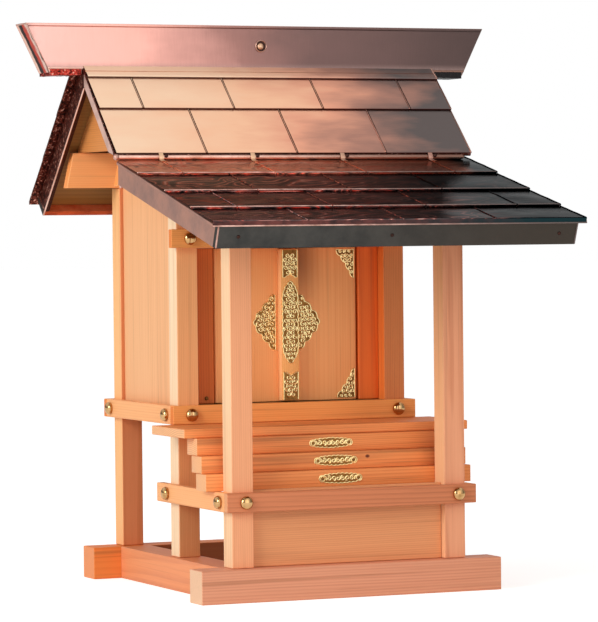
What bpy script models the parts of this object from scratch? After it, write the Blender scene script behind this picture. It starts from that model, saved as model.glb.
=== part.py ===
# Miniature shinto shrine of plain cypress under a copper-clad roof.
# X runs along the ridge, the doors face -Y and the shrine stands on Z = 0.
# Drawn with Y = 0 on the front face of the base, then moved so that the
# origin lies in the middle of the footprint of the whole shrine.
import math

import bmesh
import bpy
from mathutils import Matrix, Vector

GAP = 0.0003  # between pieces that touch

# Base frame and posts
POST = 0.024
BODY_WIDTH = 0.268
BASE_REACH = 0.038
BASE_DEPTH = 0.354
BASE_HEIGHT = 0.035
CROSS_BEAM = 0.034
SIDE_BEAM = 0.036
SIDE_BEAM_OUTSET = 0.006
BODY_POST_Y = 0.158
REAR_POST_INSET = 0.002
POST_TOP = 0.4337
WOOD_EDGE = 0.0006

# Rails nailed round the posts
RAIL_THICKNESS = 0.0087
RAIL_HEIGHT = 0.020
LOWER_RAIL_Z = 0.094
LOWER_RAIL_TAIL = 0.018

# Steps, platform and floor
STEP_NAMES = ("step_lower", "step_middle", "step_upper")
STEP_REACH = 0.019
STEP_HEIGHT = 0.0178
STEP_RUN = 0.012
STEP_DEPTH = 0.028
PLATFORM_REACH = 0.0305
PLATFORM_SETBACK = 0.0065
PLATFORM_THICKNESS = 0.0095
FLOOR_THICKNESS = 0.010
APRON_THICKNESS = 0.009
APRON_INSET = 0.008
APRON_RISE = 0.0015

# Walls and doors
WALL = 0.009
WALL_INSET = 0.004
REAR_WALL_INSET = 0.011
DOOR_INSET = 0.015
DOOR_THICKNESS = 0.009
DOOR_HEIGHT = 0.1665
DOORWAY_WIDTH = 0.1714
DOOR_GAP = 0.0015
SWING_GAP = 0.0008
MEETING_GAP = 0.0015
BATTEN_WIDTH = 0.021
BATTEN_DEPTH = 0.010
BATTEN_SHORT = 0.001
HEAD_THICKNESS = 0.010

# Thin pressed fittings on the doors and the risers
FITTING = 0.0008
BATTEN_PLATE_WIDTH = 0.019
CENTRE_PLATE_HEIGHT = 0.089
CENTRE_PLATE_Z = 0.086
END_PLATE_HEIGHT = 0.030
PLATE_POINT = 0.006
FAN_WIDTH = 0.027
FAN_HEIGHT = 0.062
FAN_LOBE = 0.0012
CORNER_WIDTH = 0.022
CORNER_HEIGHT = 0.032
RISER_PLATE_WIDTH = 0.048
RISER_PLATE_HEIGHT = 0.0105
RISER_PLATE_EYE = 0.0036

# Main roof
MAIN_PITCH = math.tan(math.radians(45.0))
MAIN_FOOT_REACH = 0.015
REAR_REACH = 0.0625
REAR_EAVE_OVERHANG = 0.0052
SHEET = 0.0013
SHEET_LAP = 0.0012
MAIN_BOARD_THICKNESS = 0.014
GABLE_REACH = 0.0755
ROOF_SIDE_OVERHANG = 0.0082
BARGE_THICKNESS = 0.006
BARGE_DEPTH = 0.0346
FRONT_FIRST_COURSE = 0.0465
FRONT_COURSE = 0.035
REAR_COURSE = 0.047
SHORTEST_ROW = 0.05  # share of a row, below which the row before it runs on
EAVE_ROLL_RADIUS = 0.0024
GABLE_BOARD = 0.006
GABLE_INSET = 0.009

# Porch roof
PORCH_REACH = 0.130
PORCH_STEP_DOWN = 0.0092
PORCH_PITCH = math.tan(math.radians(14.0))
PORCH_BOARD_THICKNESS = 0.012
PORCH_COURSE = 0.0715
PORCH_BARGE_DEPTH = 0.025
PORCH_BARGE_TAIL = 0.0045
PORCH_EAVE_OVERHANG = 0.004
PORCH_EAVE_LEAN = math.tan(math.radians(21.0))

# Cross beams under the roof
PLATE_THICKNESS = 0.012
PLATE_HEIGHT = 0.0388
PLATE_REACH = 0.054
PLATE_SLANT = 0.008
LEDGER_HEIGHT = 0.020
PORCH_BEAM_HEIGHT = 0.024
PORCH_BEAM_THICKNESS = 0.018

# Ridge box
RIDGE_BOX_RISE = 0.029
RIDGE_BOX_HEIGHT = 0.053
RIDGE_BOX_DEPTH = 0.034
RIDGE_FOOT_REACH = 0.0375
RIDGE_END_SLANT = 0.026

# Places that follow from the sizes
HALF_BODY = BODY_WIDTH / 2
INNER_X = HALF_BODY - POST
HALF_BASE = HALF_BODY + BASE_REACH
PORCH_POST_Y = RAIL_THICKNESS + GAP
PORCH_POST_BACK = PORCH_POST_Y + POST
BODY_POST_BACK = BODY_POST_Y + POST
REAR_POST_BACK = BASE_DEPTH - REAR_POST_INSET
REAR_POST_Y = REAR_POST_BACK - POST
LOWER_RAIL_TOP = LOWER_RAIL_Z + RAIL_HEIGHT
PLATFORM_Z = LOWER_RAIL_TOP + GAP + len(STEP_NAMES) * (STEP_HEIGHT + GAP)
PLATFORM_TOP = PLATFORM_Z + PLATFORM_THICKNESS
UPPER_RAIL_Z = PLATFORM_TOP + GAP
FLOOR_TOP = UPPER_RAIL_Z + RAIL_HEIGHT
DOOR_Z = FLOOR_TOP + SWING_GAP
DOOR_TOP = DOOR_Z + DOOR_HEIGHT
HEAD_Z = DOOR_TOP + SWING_GAP
TOP_RAIL_Z = HEAD_Z + SWING_GAP
DOOR_FRONT_Y = BODY_POST_Y + DOOR_INSET
DOOR_BACK_Y = DOOR_FRONT_Y + DOOR_THICKNESS
HINGE_X = DOORWAY_WIDTH / 2 - DOOR_GAP - DOOR_THICKNESS / 2
HINGE_Y = DOOR_FRONT_Y + DOOR_THICKNESS / 2
WALL_OUTER_X = HALF_BODY - WALL_INSET
WALL_INNER_X = WALL_OUTER_X - WALL
SIDE_WALL_Y = BODY_POST_BACK + GAP
SIDE_WALL_BACK = REAR_POST_Y - GAP
ROOF_HALF = HALF_BODY + GABLE_REACH
BOARD_HALF = ROOF_HALF - ROOF_SIDE_OVERHANG
MAIN_RUN = math.sqrt(1 + MAIN_PITCH**2)
PORCH_RUN = math.sqrt(1 + PORCH_PITCH**2)
MAIN_SKIN = (SHEET + SHEET_LAP) * MAIN_RUN
PORCH_SKIN = (SHEET + SHEET_LAP) * PORCH_RUN
MAIN_BOARD = MAIN_BOARD_THICKNESS * MAIN_RUN
PORCH_BOARD = PORCH_BOARD_THICKNESS * PORCH_RUN
RIDGE_Y = (BODY_POST_Y + REAR_POST_BACK) / 2
PLATE_TOP = POST_TOP + GAP + PLATE_HEIGHT
PLATE_BACK_Y = REAR_POST_Y + PLATE_THICKNESS
RIDGE_UNDER = PLATE_TOP + GAP + (PLATE_BACK_Y - RIDGE_Y) * MAIN_PITCH
RIDGE_Z = RIDGE_UNDER + MAIN_BOARD + GAP + MAIN_SKIN
MAIN_FOOT_Y = BODY_POST_Y - MAIN_FOOT_REACH
REAR_EAVE_Y = BASE_DEPTH + REAR_REACH
PORCH_EAVE_Y = -PORCH_REACH
MAIN_FOOT_Z = RIDGE_Z - (RIDGE_Y - MAIN_FOOT_Y) * MAIN_PITCH
PORCH_EAVE_Z = MAIN_FOOT_Z - PORCH_STEP_DOWN - (MAIN_FOOT_Y - PORCH_EAVE_Y) * PORCH_PITCH
FASCIA_BACK_Y = REAR_EAVE_Y - REAR_EAVE_OVERHANG
FASCIA_FRONT_Y = PORCH_EAVE_Y + PORCH_EAVE_OVERHANG
SHRINE_SHIFT = -(PORCH_EAVE_Y + REAR_EAVE_Y) / 2


def front_slope(y):
    """Height of the copper on the front slope of the main roof."""
    return RIDGE_Z - (RIDGE_Y - y) * MAIN_PITCH


def rear_slope(y):
    """Height of the copper on the rear slope."""
    return RIDGE_Z - (y - RIDGE_Y) * MAIN_PITCH


def porch_slope(y):
    """Height of the copper on the porch roof."""
    return PORCH_EAVE_Z + (y - PORCH_EAVE_Y) * PORCH_PITCH


def main_underside(y):
    """Underside of the main roof's boards."""
    return min(front_slope(y), rear_slope(y)) - MAIN_SKIN - GAP - MAIN_BOARD - GAP


def porch_underside(y):
    """Underside of the porch roof's boards."""
    return porch_slope(y) - PORCH_SKIN - GAP - PORCH_BOARD - GAP


def clear_scene():
    for old in list(bpy.data.objects):
        bpy.data.objects.remove(old, do_unlink=True)


def new_collection(name):
    group = bpy.data.collections.new(name)
    bpy.context.scene.collection.children.link(group)
    return group


def new_material(name, colour, roughness, metallic=0.0):
    material = bpy.data.materials.new(name)
    material.use_nodes = True
    shader = material.node_tree.nodes["Principled BSDF"]
    shader.inputs["Base Color"].default_value = (*colour, 1.0)
    shader.inputs["Roughness"].default_value = roughness
    shader.inputs["Metallic"].default_value = metallic
    return material


clear_scene()
SHRINE = new_collection("miniature_shinto_shrine")
CUTTERS = new_collection("cutters")

CYPRESS = new_material("cypress", (0.78, 0.50, 0.29), 0.55)
CYPRESS_PALE = new_material("cypress_pale", (0.83, 0.58, 0.36), 0.55)
CYPRESS_DOOR = new_material("cypress_door", (0.74, 0.45, 0.25), 0.5)
COPPER = new_material("copper_sheet", (0.52, 0.30, 0.24), 0.32, 0.9)
COPPER_DARK = new_material("copper_sheet_dark", (0.20, 0.13, 0.12), 0.4, 0.9)

ROOT = bpy.data.objects.new("shrine_base_point", None)
ROOT.location = (0.0, SHRINE_SHIFT, 0.0)
SHRINE.objects.link(ROOT)


def adopt(part, name, material, parent=None):
    """Name a finished mesh object, colour it and hang it on the shrine."""
    part.name = name
    part.data.name = name
    part.data.materials.clear()
    part.data.materials.append(material)
    for group in list(part.users_collection):
        group.objects.unlink(part)
    SHRINE.objects.link(part)
    part.parent = parent or ROOT
    return part


def soften(part, width=WOOD_EDGE):
    """Ease the arrises of a board."""
    bevel = part.modifiers.new("eased_edges", "BEVEL")
    bevel.width = width
    bevel.segments = 1
    bevel.limit_method = "ANGLE"
    return part


def block(name, low, high, material, edge=WOOD_EDGE, parent=None):
    """A board or post between two opposite corners."""
    low = Vector(low)
    high = Vector(high)
    size = high - low
    bpy.ops.mesh.primitive_cube_add(size=1.0)
    part = bpy.context.object
    part.data.transform(Matrix.Diagonal(size).to_4x4())
    part.location = (low + high) / 2
    adopt(part, name, material, parent)
    return soften(part, edge) if edge else part


def outline_solid(name, points, thickness):
    """A flat outline in its own X and Y, thickened evenly about its plane."""
    curve = bpy.data.curves.new(name, "CURVE")
    curve.dimensions = "2D"
    curve.fill_mode = "BOTH"
    curve.extrude = thickness / 2
    spline = curve.splines.new("POLY")
    spline.points.add(len(points) - 1)
    for place, (u, v) in zip(spline.points, points):
        place.co = (u, v, 0.0, 1.0)
    spline.use_cyclic_u = True
    drawn = bpy.data.objects.new(name, curve)
    bpy.context.scene.collection.objects.link(drawn)
    bpy.context.view_layer.update()
    graph = bpy.context.evaluated_depsgraph_get()
    mesh = bpy.data.meshes.new_from_object(drawn.evaluated_get(graph))
    bpy.data.objects.remove(drawn, do_unlink=True)
    bpy.data.curves.remove(curve)
    shape = bmesh.new()
    shape.from_mesh(mesh)
    bmesh.ops.remove_doubles(shape, verts=shape.verts, dist=0.00001)
    bmesh.ops.recalc_face_normals(shape, faces=shape.faces)
    bmesh.ops.dissolve_limit(shape, angle_limit=0.001, verts=shape.verts, edges=shape.edges)
    shape.to_mesh(mesh)
    shape.free()
    part = bpy.data.objects.new(name, mesh)
    SHRINE.objects.link(part)
    return part


def side_profile(name, points, x_low, x_high, material, edge=WOOD_EDGE):
    """A piece drawn in Y and Z and run along X."""
    part = outline_solid(name, points, x_high - x_low)
    part.rotation_euler = (math.radians(90), 0.0, math.radians(90))
    part.location.x = (x_low + x_high) / 2
    adopt(part, name, material)
    return soften(part, edge) if edge else part


def front_profile(name, points, y_low, y_high, material, edge=WOOD_EDGE):
    """A piece drawn in X and Z and run along Y."""
    part = outline_solid(name, points, y_high - y_low)
    part.rotation_euler = (math.radians(90), 0.0, 0.0)
    part.location.y = (y_low + y_high) / 2
    adopt(part, name, material)
    return soften(part, edge) if edge else part


def plan_profile(name, points, z_low, z_high, material, edge=WOOD_EDGE):
    """A piece drawn in X and Y and run along Z."""
    part = outline_solid(name, points, z_high - z_low)
    part.location.z = (z_low + z_high) / 2
    adopt(part, name, material)
    return soften(part, edge) if edge else part


def pair(make):
    """Build a piece on both sides: make gets the side's name and its sign."""
    for side, sign in (("left", -1), ("right", 1)):
        make(side, sign)


def span(sign, near, far):
    """Low and high X of a piece between two distances from the middle."""
    return sorted((sign * near, sign * far))


def arc(centre, radius, start, end, steps):
    """Points on part of a circle, with the angles in degrees."""
    turns = [math.radians(start + (end - start) * step / steps) for step in range(steps + 1)]
    return [(centre[0] + radius * math.cos(t), centre[1] + radius * math.sin(t)) for t in turns]


def build_base():
    half = HALF_BASE
    back_y = BASE_DEPTH - CROSS_BEAM
    block("base_front_beam", (-half, 0, 0), (half, CROSS_BEAM, BASE_HEIGHT), CYPRESS)
    block("base_rear_beam", (-half, back_y, 0), (half, BASE_DEPTH, BASE_HEIGHT), CYPRESS)
    outer = HALF_BODY + SIDE_BEAM_OUTSET

    def side_beam(side, sign):
        low, high = span(sign, outer - SIDE_BEAM, outer)
        block(
            f"base_side_beam_{side}",
            (low, CROSS_BEAM + GAP, 0),
            (high, back_y - GAP, BASE_HEIGHT),
            CYPRESS,
        )

    pair(side_beam)


def build_posts():
    foot = BASE_HEIGHT + GAP

    def posts(side, sign):
        low, high = span(sign, INNER_X, HALF_BODY)
        porch = [
            (PORCH_POST_Y, foot),
            (PORCH_POST_BACK, foot),
            (PORCH_POST_BACK, porch_underside(PORCH_POST_BACK)),
            (PORCH_POST_Y, porch_underside(PORCH_POST_Y)),
        ]
        side_profile(f"porch_post_{side}", porch, low, high, CYPRESS)
        for place, y in (("front", BODY_POST_Y), ("rear", REAR_POST_Y)):
            name = f"body_post_{place}_{side}"
            block(name, (low, y, foot), (high, y + POST, POST_TOP), CYPRESS)

    pair(posts)


def build_rails():
    side_x = HALF_BODY + GAP
    outer = side_x + RAIL_THICKNESS

    def front_rail(name, y, z):
        """A rail across a pair of posts whose front faces are at y."""
        near = y - GAP
        low = (-outer, near - RAIL_THICKNESS, z)
        block(name, low, (outer, near, z + RAIL_HEIGHT), CYPRESS)

    front_rail("lower_rail_front", PORCH_POST_Y, LOWER_RAIL_Z)
    front_rail("upper_rail_front", BODY_POST_Y, UPPER_RAIL_Z)
    front_rail("top_rail_front", BODY_POST_Y, TOP_RAIL_Z)
    rear = REAR_POST_BACK + GAP
    block(
        "upper_rail_rear",
        (-outer, rear, UPPER_RAIL_Z),
        (outer, rear + RAIL_THICKNESS, FLOOR_TOP),
        CYPRESS,
    )

    def side_rails(side, sign):
        low, high = span(sign, side_x, outer)
        tail = BODY_POST_BACK + LOWER_RAIL_TAIL
        block(
            f"lower_rail_{side}",
            (low, PORCH_POST_Y, LOWER_RAIL_Z),
            (high, tail, LOWER_RAIL_TOP),
            CYPRESS,
        )
        block(
            f"upper_rail_{side}",
            (low, BODY_POST_Y, UPPER_RAIL_Z),
            (high, REAR_POST_BACK, FLOOR_TOP),
            CYPRESS,
        )

    pair(side_rails)


def plate_outline(width, height, eye):
    """Outline of a riser plate: a long lozenge with a rounded eye at each end."""
    half = width / 2
    right = arc((half - eye, 0.0), eye, -70, 70, 6)
    left = [(-x, -y) for x, y in right]
    return right + [(0.0, height / 2)] + left + [(0.0, -height / 2)]


def joined(base, pieces):
    """Fuse pieces that stand proud of a board into it."""
    for piece in pieces:
        union = base.modifiers.new(piece.name, "BOOLEAN")
        union.operation = "UNION"
        union.solver = "EXACT"
        union.object = piece
        piece.hide_render = True
        piece.display_type = "WIRE"
        for group in list(piece.users_collection):
            group.objects.unlink(piece)
        CUTTERS.objects.link(piece)
        piece.parent = base.parent
    return base


def fitting(name, points, face_y, z, x=0.0):
    """A thin plate against the face of a board, sunk into it by its own thickness."""
    part = outline_solid(name, points, 2 * FITTING)
    part.rotation_euler = (math.radians(90), 0.0, 0.0)
    part.location = (x, face_y, z)
    return part


def build_steps():
    half = HALF_BODY + STEP_REACH
    front = PORCH_POST_BACK + GAP
    z = LOWER_RAIL_TOP + GAP
    outline = plate_outline(RISER_PLATE_WIDTH, RISER_PLATE_HEIGHT, RISER_PLATE_EYE)
    for name in STEP_NAMES:
        board = block(
            name,
            (-half, front, z),
            (half, front + STEP_DEPTH, z + STEP_HEIGHT),
            CYPRESS,
        )
        plate = fitting(f"{name}_plate", outline, front, z + STEP_HEIGHT / 2)
        joined(board, [plate])
        front += STEP_RUN
        z += STEP_HEIGHT + GAP
    front += PLATFORM_SETBACK - STEP_RUN
    half = HALF_BODY + PLATFORM_REACH
    block(
        "platform",
        (-half, front, PLATFORM_Z),
        (half, BODY_POST_Y - GAP, PLATFORM_TOP),
        CYPRESS,
    )
    face = PORCH_POST_Y + APRON_INSET
    block(
        "apron_board",
        (-INNER_X + GAP, face, BASE_HEIGHT + GAP),
        (INNER_X - GAP, face + APRON_THICKNESS, LOWER_RAIL_TOP + APRON_RISE),
        CYPRESS_PALE,
    )


def build_body():
    narrow = INNER_X - GAP
    wide = WALL_INNER_X - GAP
    wall_y = REAR_POST_BACK - REAR_WALL_INSET - WALL
    floor_front = BODY_POST_Y + GAP
    floor = [
        (-narrow, floor_front),
        (narrow, floor_front),
        (narrow, BODY_POST_BACK + GAP),
        (wide, BODY_POST_BACK + GAP),
        (wide, REAR_POST_Y - GAP),
        (narrow, REAR_POST_Y - GAP),
        (narrow, wall_y - GAP),
        (-narrow, wall_y - GAP),
        (-narrow, REAR_POST_Y - GAP),
        (-wide, REAR_POST_Y - GAP),
        (-wide, BODY_POST_BACK + GAP),
        (-narrow, BODY_POST_BACK + GAP),
    ]
    plan_profile("floor_board", floor, FLOOR_TOP - FLOOR_THICKNESS, FLOOR_TOP, CYPRESS, 0)
    wall_foot = FLOOR_TOP - RAIL_HEIGHT
    block(
        "rear_wall",
        (-narrow, wall_y, wall_foot),
        (narrow, wall_y + WALL, POST_TOP),
        CYPRESS_PALE,
    )

    def side_wall(side, sign):
        low, high = span(sign, WALL_INNER_X, WALL_OUTER_X)
        outline = [
            (SIDE_WALL_Y, wall_foot),
            (SIDE_WALL_BACK, wall_foot),
            (SIDE_WALL_BACK, main_underside(SIDE_WALL_BACK)),
            (RIDGE_Y, main_underside(RIDGE_Y)),
            (SIDE_WALL_Y, main_underside(SIDE_WALL_Y)),
        ]
        side_profile(f"side_wall_{side}", outline, low, high, CYPRESS_PALE)

    def jamb(side, sign):
        low, high = span(sign, DOORWAY_WIDTH / 2, narrow)
        block(
            f"door_jamb_{side}",
            (low, DOOR_FRONT_Y, FLOOR_TOP + GAP),
            (high, DOOR_BACK_Y, HEAD_Z - GAP),
            CYPRESS,
        )

    pair(side_wall)
    pair(jamb)
    head_top = HEAD_Z + HEAD_THICKNESS
    block("door_head", (-narrow, floor_front, HEAD_Z), (narrow, DOOR_BACK_Y, head_top), CYPRESS)
    block(
        "transom_board",
        (-narrow, DOOR_FRONT_Y, head_top + GAP),
        (narrow, DOOR_BACK_Y, POST_TOP),
        CYPRESS,
    )


def build_roof_beams():
    foot = POST_TOP + GAP
    half = HALF_BODY + PLATE_REACH

    def wall_plate(name, y_low, y_high):
        top = min(main_underside(y_low), main_underside(y_high))
        outline = [
            (-half - PLATE_SLANT, foot),
            (half + PLATE_SLANT, foot),
            (half, top),
            (-half, top),
        ]
        front_profile(name, outline, y_low, y_high, CYPRESS)

    wall_plate("wall_plate_front", BODY_POST_BACK - PLATE_THICKNESS, BODY_POST_BACK)
    wall_plate("wall_plate_rear", REAR_POST_Y, REAR_POST_Y + PLATE_THICKNESS)
    ledger_y = BODY_POST_Y - GAP - PLATE_THICKNESS
    ledger_top = porch_underside(ledger_y)
    block(
        "porch_ledger",
        (-HALF_BODY, ledger_y, ledger_top - LEDGER_HEIGHT),
        (HALF_BODY, BODY_POST_Y - GAP, ledger_top),
        CYPRESS,
    )
    beam_y = PORCH_POST_Y + (POST - PORCH_BEAM_THICKNESS) / 2
    beam_top = porch_underside(beam_y)
    block(
        "porch_beam",
        (-INNER_X + GAP, beam_y, beam_top - PORCH_BEAM_HEIGHT),
        (INNER_X - GAP, beam_y + PORCH_BEAM_THICKNESS, beam_top),
        CYPRESS,
    )

    def gable_board(side, sign):
        low, high = span(sign, half - GABLE_INSET - GABLE_BOARD, half - GABLE_INSET)
        base = PLATE_TOP + GAP
        reach = (main_underside(RIDGE_Y) - base) / MAIN_PITCH
        outline = [
            (RIDGE_Y - reach, base),
            (RIDGE_Y + reach, base),
            (RIDGE_Y, main_underside(RIDGE_Y)),
        ]
        side_profile(f"gable_board_{side}", outline, low, high, CYPRESS_PALE, 0)

    pair(gable_board)


def courses(surface, start, end, first, course):
    """Lapped copper rows from an eave up to the top: each row's foot stands proud."""
    rest = abs(end - start) - first
    count = 1 + max(0, math.ceil(rest / course - SHORTEST_ROW))
    points = []
    low = start
    for row in range(count):
        depth = course if row else first
        high = end if row == count - 1 else low + math.copysign(depth, end - start)
        points.append((low, surface(low)))
        points.append((high, surface(high) - SHEET_LAP))
        low = high
    return points


def build_main_roof():
    half = ROOF_HALF
    drop = MAIN_SKIN + GAP
    front = courses(front_slope, MAIN_FOOT_Y, RIDGE_Y, FRONT_FIRST_COURSE, FRONT_COURSE)
    rear = courses(rear_slope, REAR_EAVE_Y, RIDGE_Y, REAR_COURSE, REAR_COURSE)
    roll_centre = (MAIN_FOOT_Y, front_slope(MAIN_FOOT_Y) - EAVE_ROLL_RADIUS)
    roll = arc(roll_centre, EAVE_ROLL_RADIUS, 315, 90, 9)
    roll_back = MAIN_FOOT_Y + 2 * EAVE_ROLL_RADIUS
    under = [
        (REAR_EAVE_Y, rear_slope(REAR_EAVE_Y) - MAIN_SKIN),
        (RIDGE_Y, RIDGE_Z - MAIN_SKIN),
        (roll_back, front_slope(roll_back) - MAIN_SKIN),
    ]
    outline = roll + front[1:] + rear[::-1] + under
    side_profile("main_roof_copper", outline, -half, half, COPPER, 0)
    board_half = BOARD_HALF - BARGE_THICKNESS - GAP

    def square_cut(y, depth):
        """Top and foot of a cut made square to the rear slope, from y under the sheet."""
        back = depth * MAIN_PITCH / MAIN_RUN**2
        return [(y, rear_slope(y) - drop), (y - back, rear_slope(y - back) - drop - depth)]

    def slope_piece(name, depth, x_low, x_high, material, front_part, rear_part):
        """Part of the roof's thickness: one slope, or both as a pair of rafters."""
        top = []
        under_line = []
        if front_part:
            meet = (porch_slope(0.0) + GAP + depth + drop - front_slope(0.0)) / (MAIN_PITCH - PORCH_PITCH)
            start = roll_back
            top += [(start, porch_slope(start) + GAP), (start, front_slope(start) - drop)]
            under_line += [(meet, porch_slope(meet) + GAP)]
        ridge_top = RIDGE_Z - drop
        ridge_under = ridge_top - depth
        if front_part and rear_part:
            top += [(RIDGE_Y, ridge_top)]
            under_line = [(RIDGE_Y, ridge_under)] + under_line
        elif front_part:
            top += [(RIDGE_Y - GAP / 2, ridge_top - GAP / 2)]
            under_line = [(RIDGE_Y - GAP / 2, ridge_under - GAP / 2)] + under_line
        else:
            top += [(RIDGE_Y + GAP / 2, ridge_top - GAP / 2)]
            under_line = under_line + [(RIDGE_Y + GAP / 2, ridge_under - GAP / 2)]
        if rear_part:
            head, foot = square_cut(FASCIA_BACK_Y - (BARGE_THICKNESS + GAP) / MAIN_RUN, depth)
            top += [head]
            under_line = [foot] + under_line
        side_profile(name, top + under_line, x_low, x_high, material, 0)

    ends = (-board_half, board_half)
    slope_piece("main_roof_board_front", MAIN_BOARD, *ends, CYPRESS, True, False)
    slope_piece("main_roof_board_rear", MAIN_BOARD, *ends, CYPRESS, False, True)

    def barge(side, sign):
        low, high = span(sign, BOARD_HALF - BARGE_THICKNESS, BOARD_HALF)
        slope_piece(f"main_barge_{side}", BARGE_DEPTH, low, high, COPPER_DARK, True, True)

    pair(barge)
    outer = square_cut(FASCIA_BACK_Y, BARGE_DEPTH)
    inner = square_cut(FASCIA_BACK_Y - BARGE_THICKNESS / MAIN_RUN, BARGE_DEPTH)
    outline = outer + inner[::-1]
    side_profile("rear_eave_board", outline, -BOARD_HALF, BOARD_HALF, COPPER_DARK, 0)


def build_porch_roof():
    half = ROOF_HALF
    top_y = BODY_POST_Y - 2 * GAP
    top = courses(porch_slope, PORCH_EAVE_Y, top_y, PORCH_COURSE, PORCH_COURSE)
    under = [
        (top_y, porch_slope(top_y) - PORCH_SKIN),
        (PORCH_EAVE_Y, PORCH_EAVE_Z - PORCH_SKIN),
    ]
    side_profile("porch_roof_copper", top + under, -half, half, COPPER_DARK, 0)
    drop = PORCH_SKIN + GAP
    lean_run = math.hypot(1, PORCH_EAVE_LEAN)
    board_front = FASCIA_FRONT_Y + (BARGE_THICKNESS + GAP) * lean_run
    board_half = BOARD_HALF - BARGE_THICKNESS - GAP

    def leaning_cut(y, depth):
        """Top and foot of a cut that leans in under the eave, from y under the sheet."""
        back = depth * PORCH_EAVE_LEAN / (1 + PORCH_EAVE_LEAN * PORCH_PITCH)
        return [(y, porch_slope(y) - drop), (y + back, porch_slope(y + back) - drop - depth)]

    def strip(name, end, depth, x_low, x_high, material):
        """A board that runs back from the eave board to end."""
        tail = [(end, porch_slope(end) - drop - depth), (end, porch_slope(end) - drop)]
        outline = leaning_cut(board_front, depth) + tail
        side_profile(name, outline, x_low, x_high, material, 0)

    strip("porch_roof_board", top_y, PORCH_BOARD, -board_half, board_half, CYPRESS)

    def barge(side, sign):
        low, high = span(sign, BOARD_HALF - BARGE_THICKNESS, BOARD_HALF)
        end = top_y - PORCH_BARGE_TAIL
        strip(f"porch_barge_{side}", end, PORCH_BARGE_DEPTH, low, high, COPPER_DARK)

    pair(barge)
    outer = leaning_cut(FASCIA_FRONT_Y, PORCH_BARGE_DEPTH)
    inner = leaning_cut(FASCIA_FRONT_Y + BARGE_THICKNESS * lean_run, PORCH_BARGE_DEPTH)
    outline = outer + inner[::-1]
    side_profile("porch_eave_board", outline, -BOARD_HALF, BOARD_HALF, COPPER_DARK, 0)


def build_ridge_box():
    """A boat-shaped box whose slanted ends reach past both gables, notched over the ridge."""
    foot = ROOF_HALF + RIDGE_FOOT_REACH
    top = foot + RIDGE_END_SLANT
    top_z = RIDGE_Z + RIDGE_BOX_RISE
    foot_z = top_z - RIDGE_BOX_HEIGHT
    outline = [(-foot, foot_z), (foot, foot_z), (top, top_z), (-top, top_z)]
    low = RIDGE_Y - RIDGE_BOX_DEPTH / 2
    box = front_profile("ridge_box", outline, low, low + RIDGE_BOX_DEPTH, COPPER, 0)
    reach = RIDGE_BOX_DEPTH
    clear = GAP * MAIN_RUN
    peak = RIDGE_Z + clear
    notch = [
        (RIDGE_Y - reach, front_slope(RIDGE_Y - reach) + clear),
        (RIDGE_Y - reach, foot_z - reach),
        (RIDGE_Y + reach, foot_z - reach),
        (RIDGE_Y + reach, rear_slope(RIDGE_Y + reach) + clear),
        (RIDGE_Y, peak),
    ]
    half = ROOF_HALF + GAP
    cutter = side_profile("ridge_notch", notch, -half, half, COPPER, 0)
    SHRINE.objects.unlink(cutter)
    CUTTERS.objects.link(cutter)
    cutter.hide_render = True
    cutter.display_type = "WIRE"
    cut = box.modifiers.new("ridge_notch", "BOOLEAN")
    cut.operation = "DIFFERENCE"
    cut.solver = "EXACT"
    cut.object = cutter


def leaf_outline(width):
    """Plan of a door leaf about its hinge axis: a rounded hanging edge, a square free one."""
    radius = DOOR_THICKNESS / 2
    return arc((0.0, 0.0), radius, 90, 270, 12) + [(width, -radius), (width, radius)]


def corner_outline(up):
    """Triangle for an outer corner of a leaf, its right angle at the origin."""
    return [(0.0, 0.0), (CORNER_WIDTH, 0.0), (0.0, up * CORNER_HEIGHT)]


def fan_outline():
    """Half lozenge that spreads from the batten, with rounded lobes on its edge."""
    half = FAN_HEIGHT / 2
    steps = 12
    edge = []
    for step in range(steps + 1):
        share = -1 + 2 * step / steps
        lobe = FAN_LOBE * math.cos(share * 2.5 * math.pi) ** 2
        edge.append(((1 - abs(share)) * (FAN_WIDTH - lobe) + lobe, share * half))
    return [(0.0, half), (0.0, -half)] + edge[1:-1]


def build_door(side, sign, width):
    """A leaf that turns about the upright axis inside its rounded outer edge."""
    pivot = bpy.data.objects.new(f"door_pivot_{side}", None)
    pivot.location = (sign * HINGE_X, HINGE_Y, 0.0)
    pivot.parent = ROOT
    SHRINE.objects.link(pivot)
    plan = [(-sign * x, y) for x, y in leaf_outline(width)]
    leaf = outline_solid(f"door_{side}", plan, DOOR_HEIGHT)
    leaf.location.z = DOOR_Z + DOOR_HEIGHT / 2
    adopt(leaf, f"door_{side}", CYPRESS_DOOR, pivot)
    face = -DOOR_THICKNESS / 2
    plates = []
    for place, up in (("bottom", 1), ("top", -1)):
        shape = [(-sign * x, y) for x, y in corner_outline(up)]
        z = DOOR_Z + BATTEN_SHORT if up == 1 else DOOR_TOP - BATTEN_SHORT
        plates.append(fitting(f"door_{side}_corner_{place}", shape, face, z))
    fan_x = HINGE_X - BATTEN_WIDTH / 2 - GAP
    fan = [(-sign * (fan_x - x), z) for x, z in fan_outline()]
    plates.append(fitting(f"door_{side}_fan", fan, face, DOOR_Z + CENTRE_PLATE_Z))
    joined(leaf, plates)
    return pivot


def tablet_outline(width, height, point_down, point_up):
    """Plate on the batten with a pointed lower or upper end."""
    half = width / 2
    low = -height / 2
    high = height / 2
    foot = [(half, low + PLATE_POINT), (0.0, low), (-half, low + PLATE_POINT)]
    head = [(-half, high - PLATE_POINT), (0.0, high), (half, high - PLATE_POINT)]
    flat_foot = [(half, low), (-half, low)]
    flat_head = [(-half, high), (half, high)]
    return (foot if point_down else flat_foot) + (head if point_up else flat_head)


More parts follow.
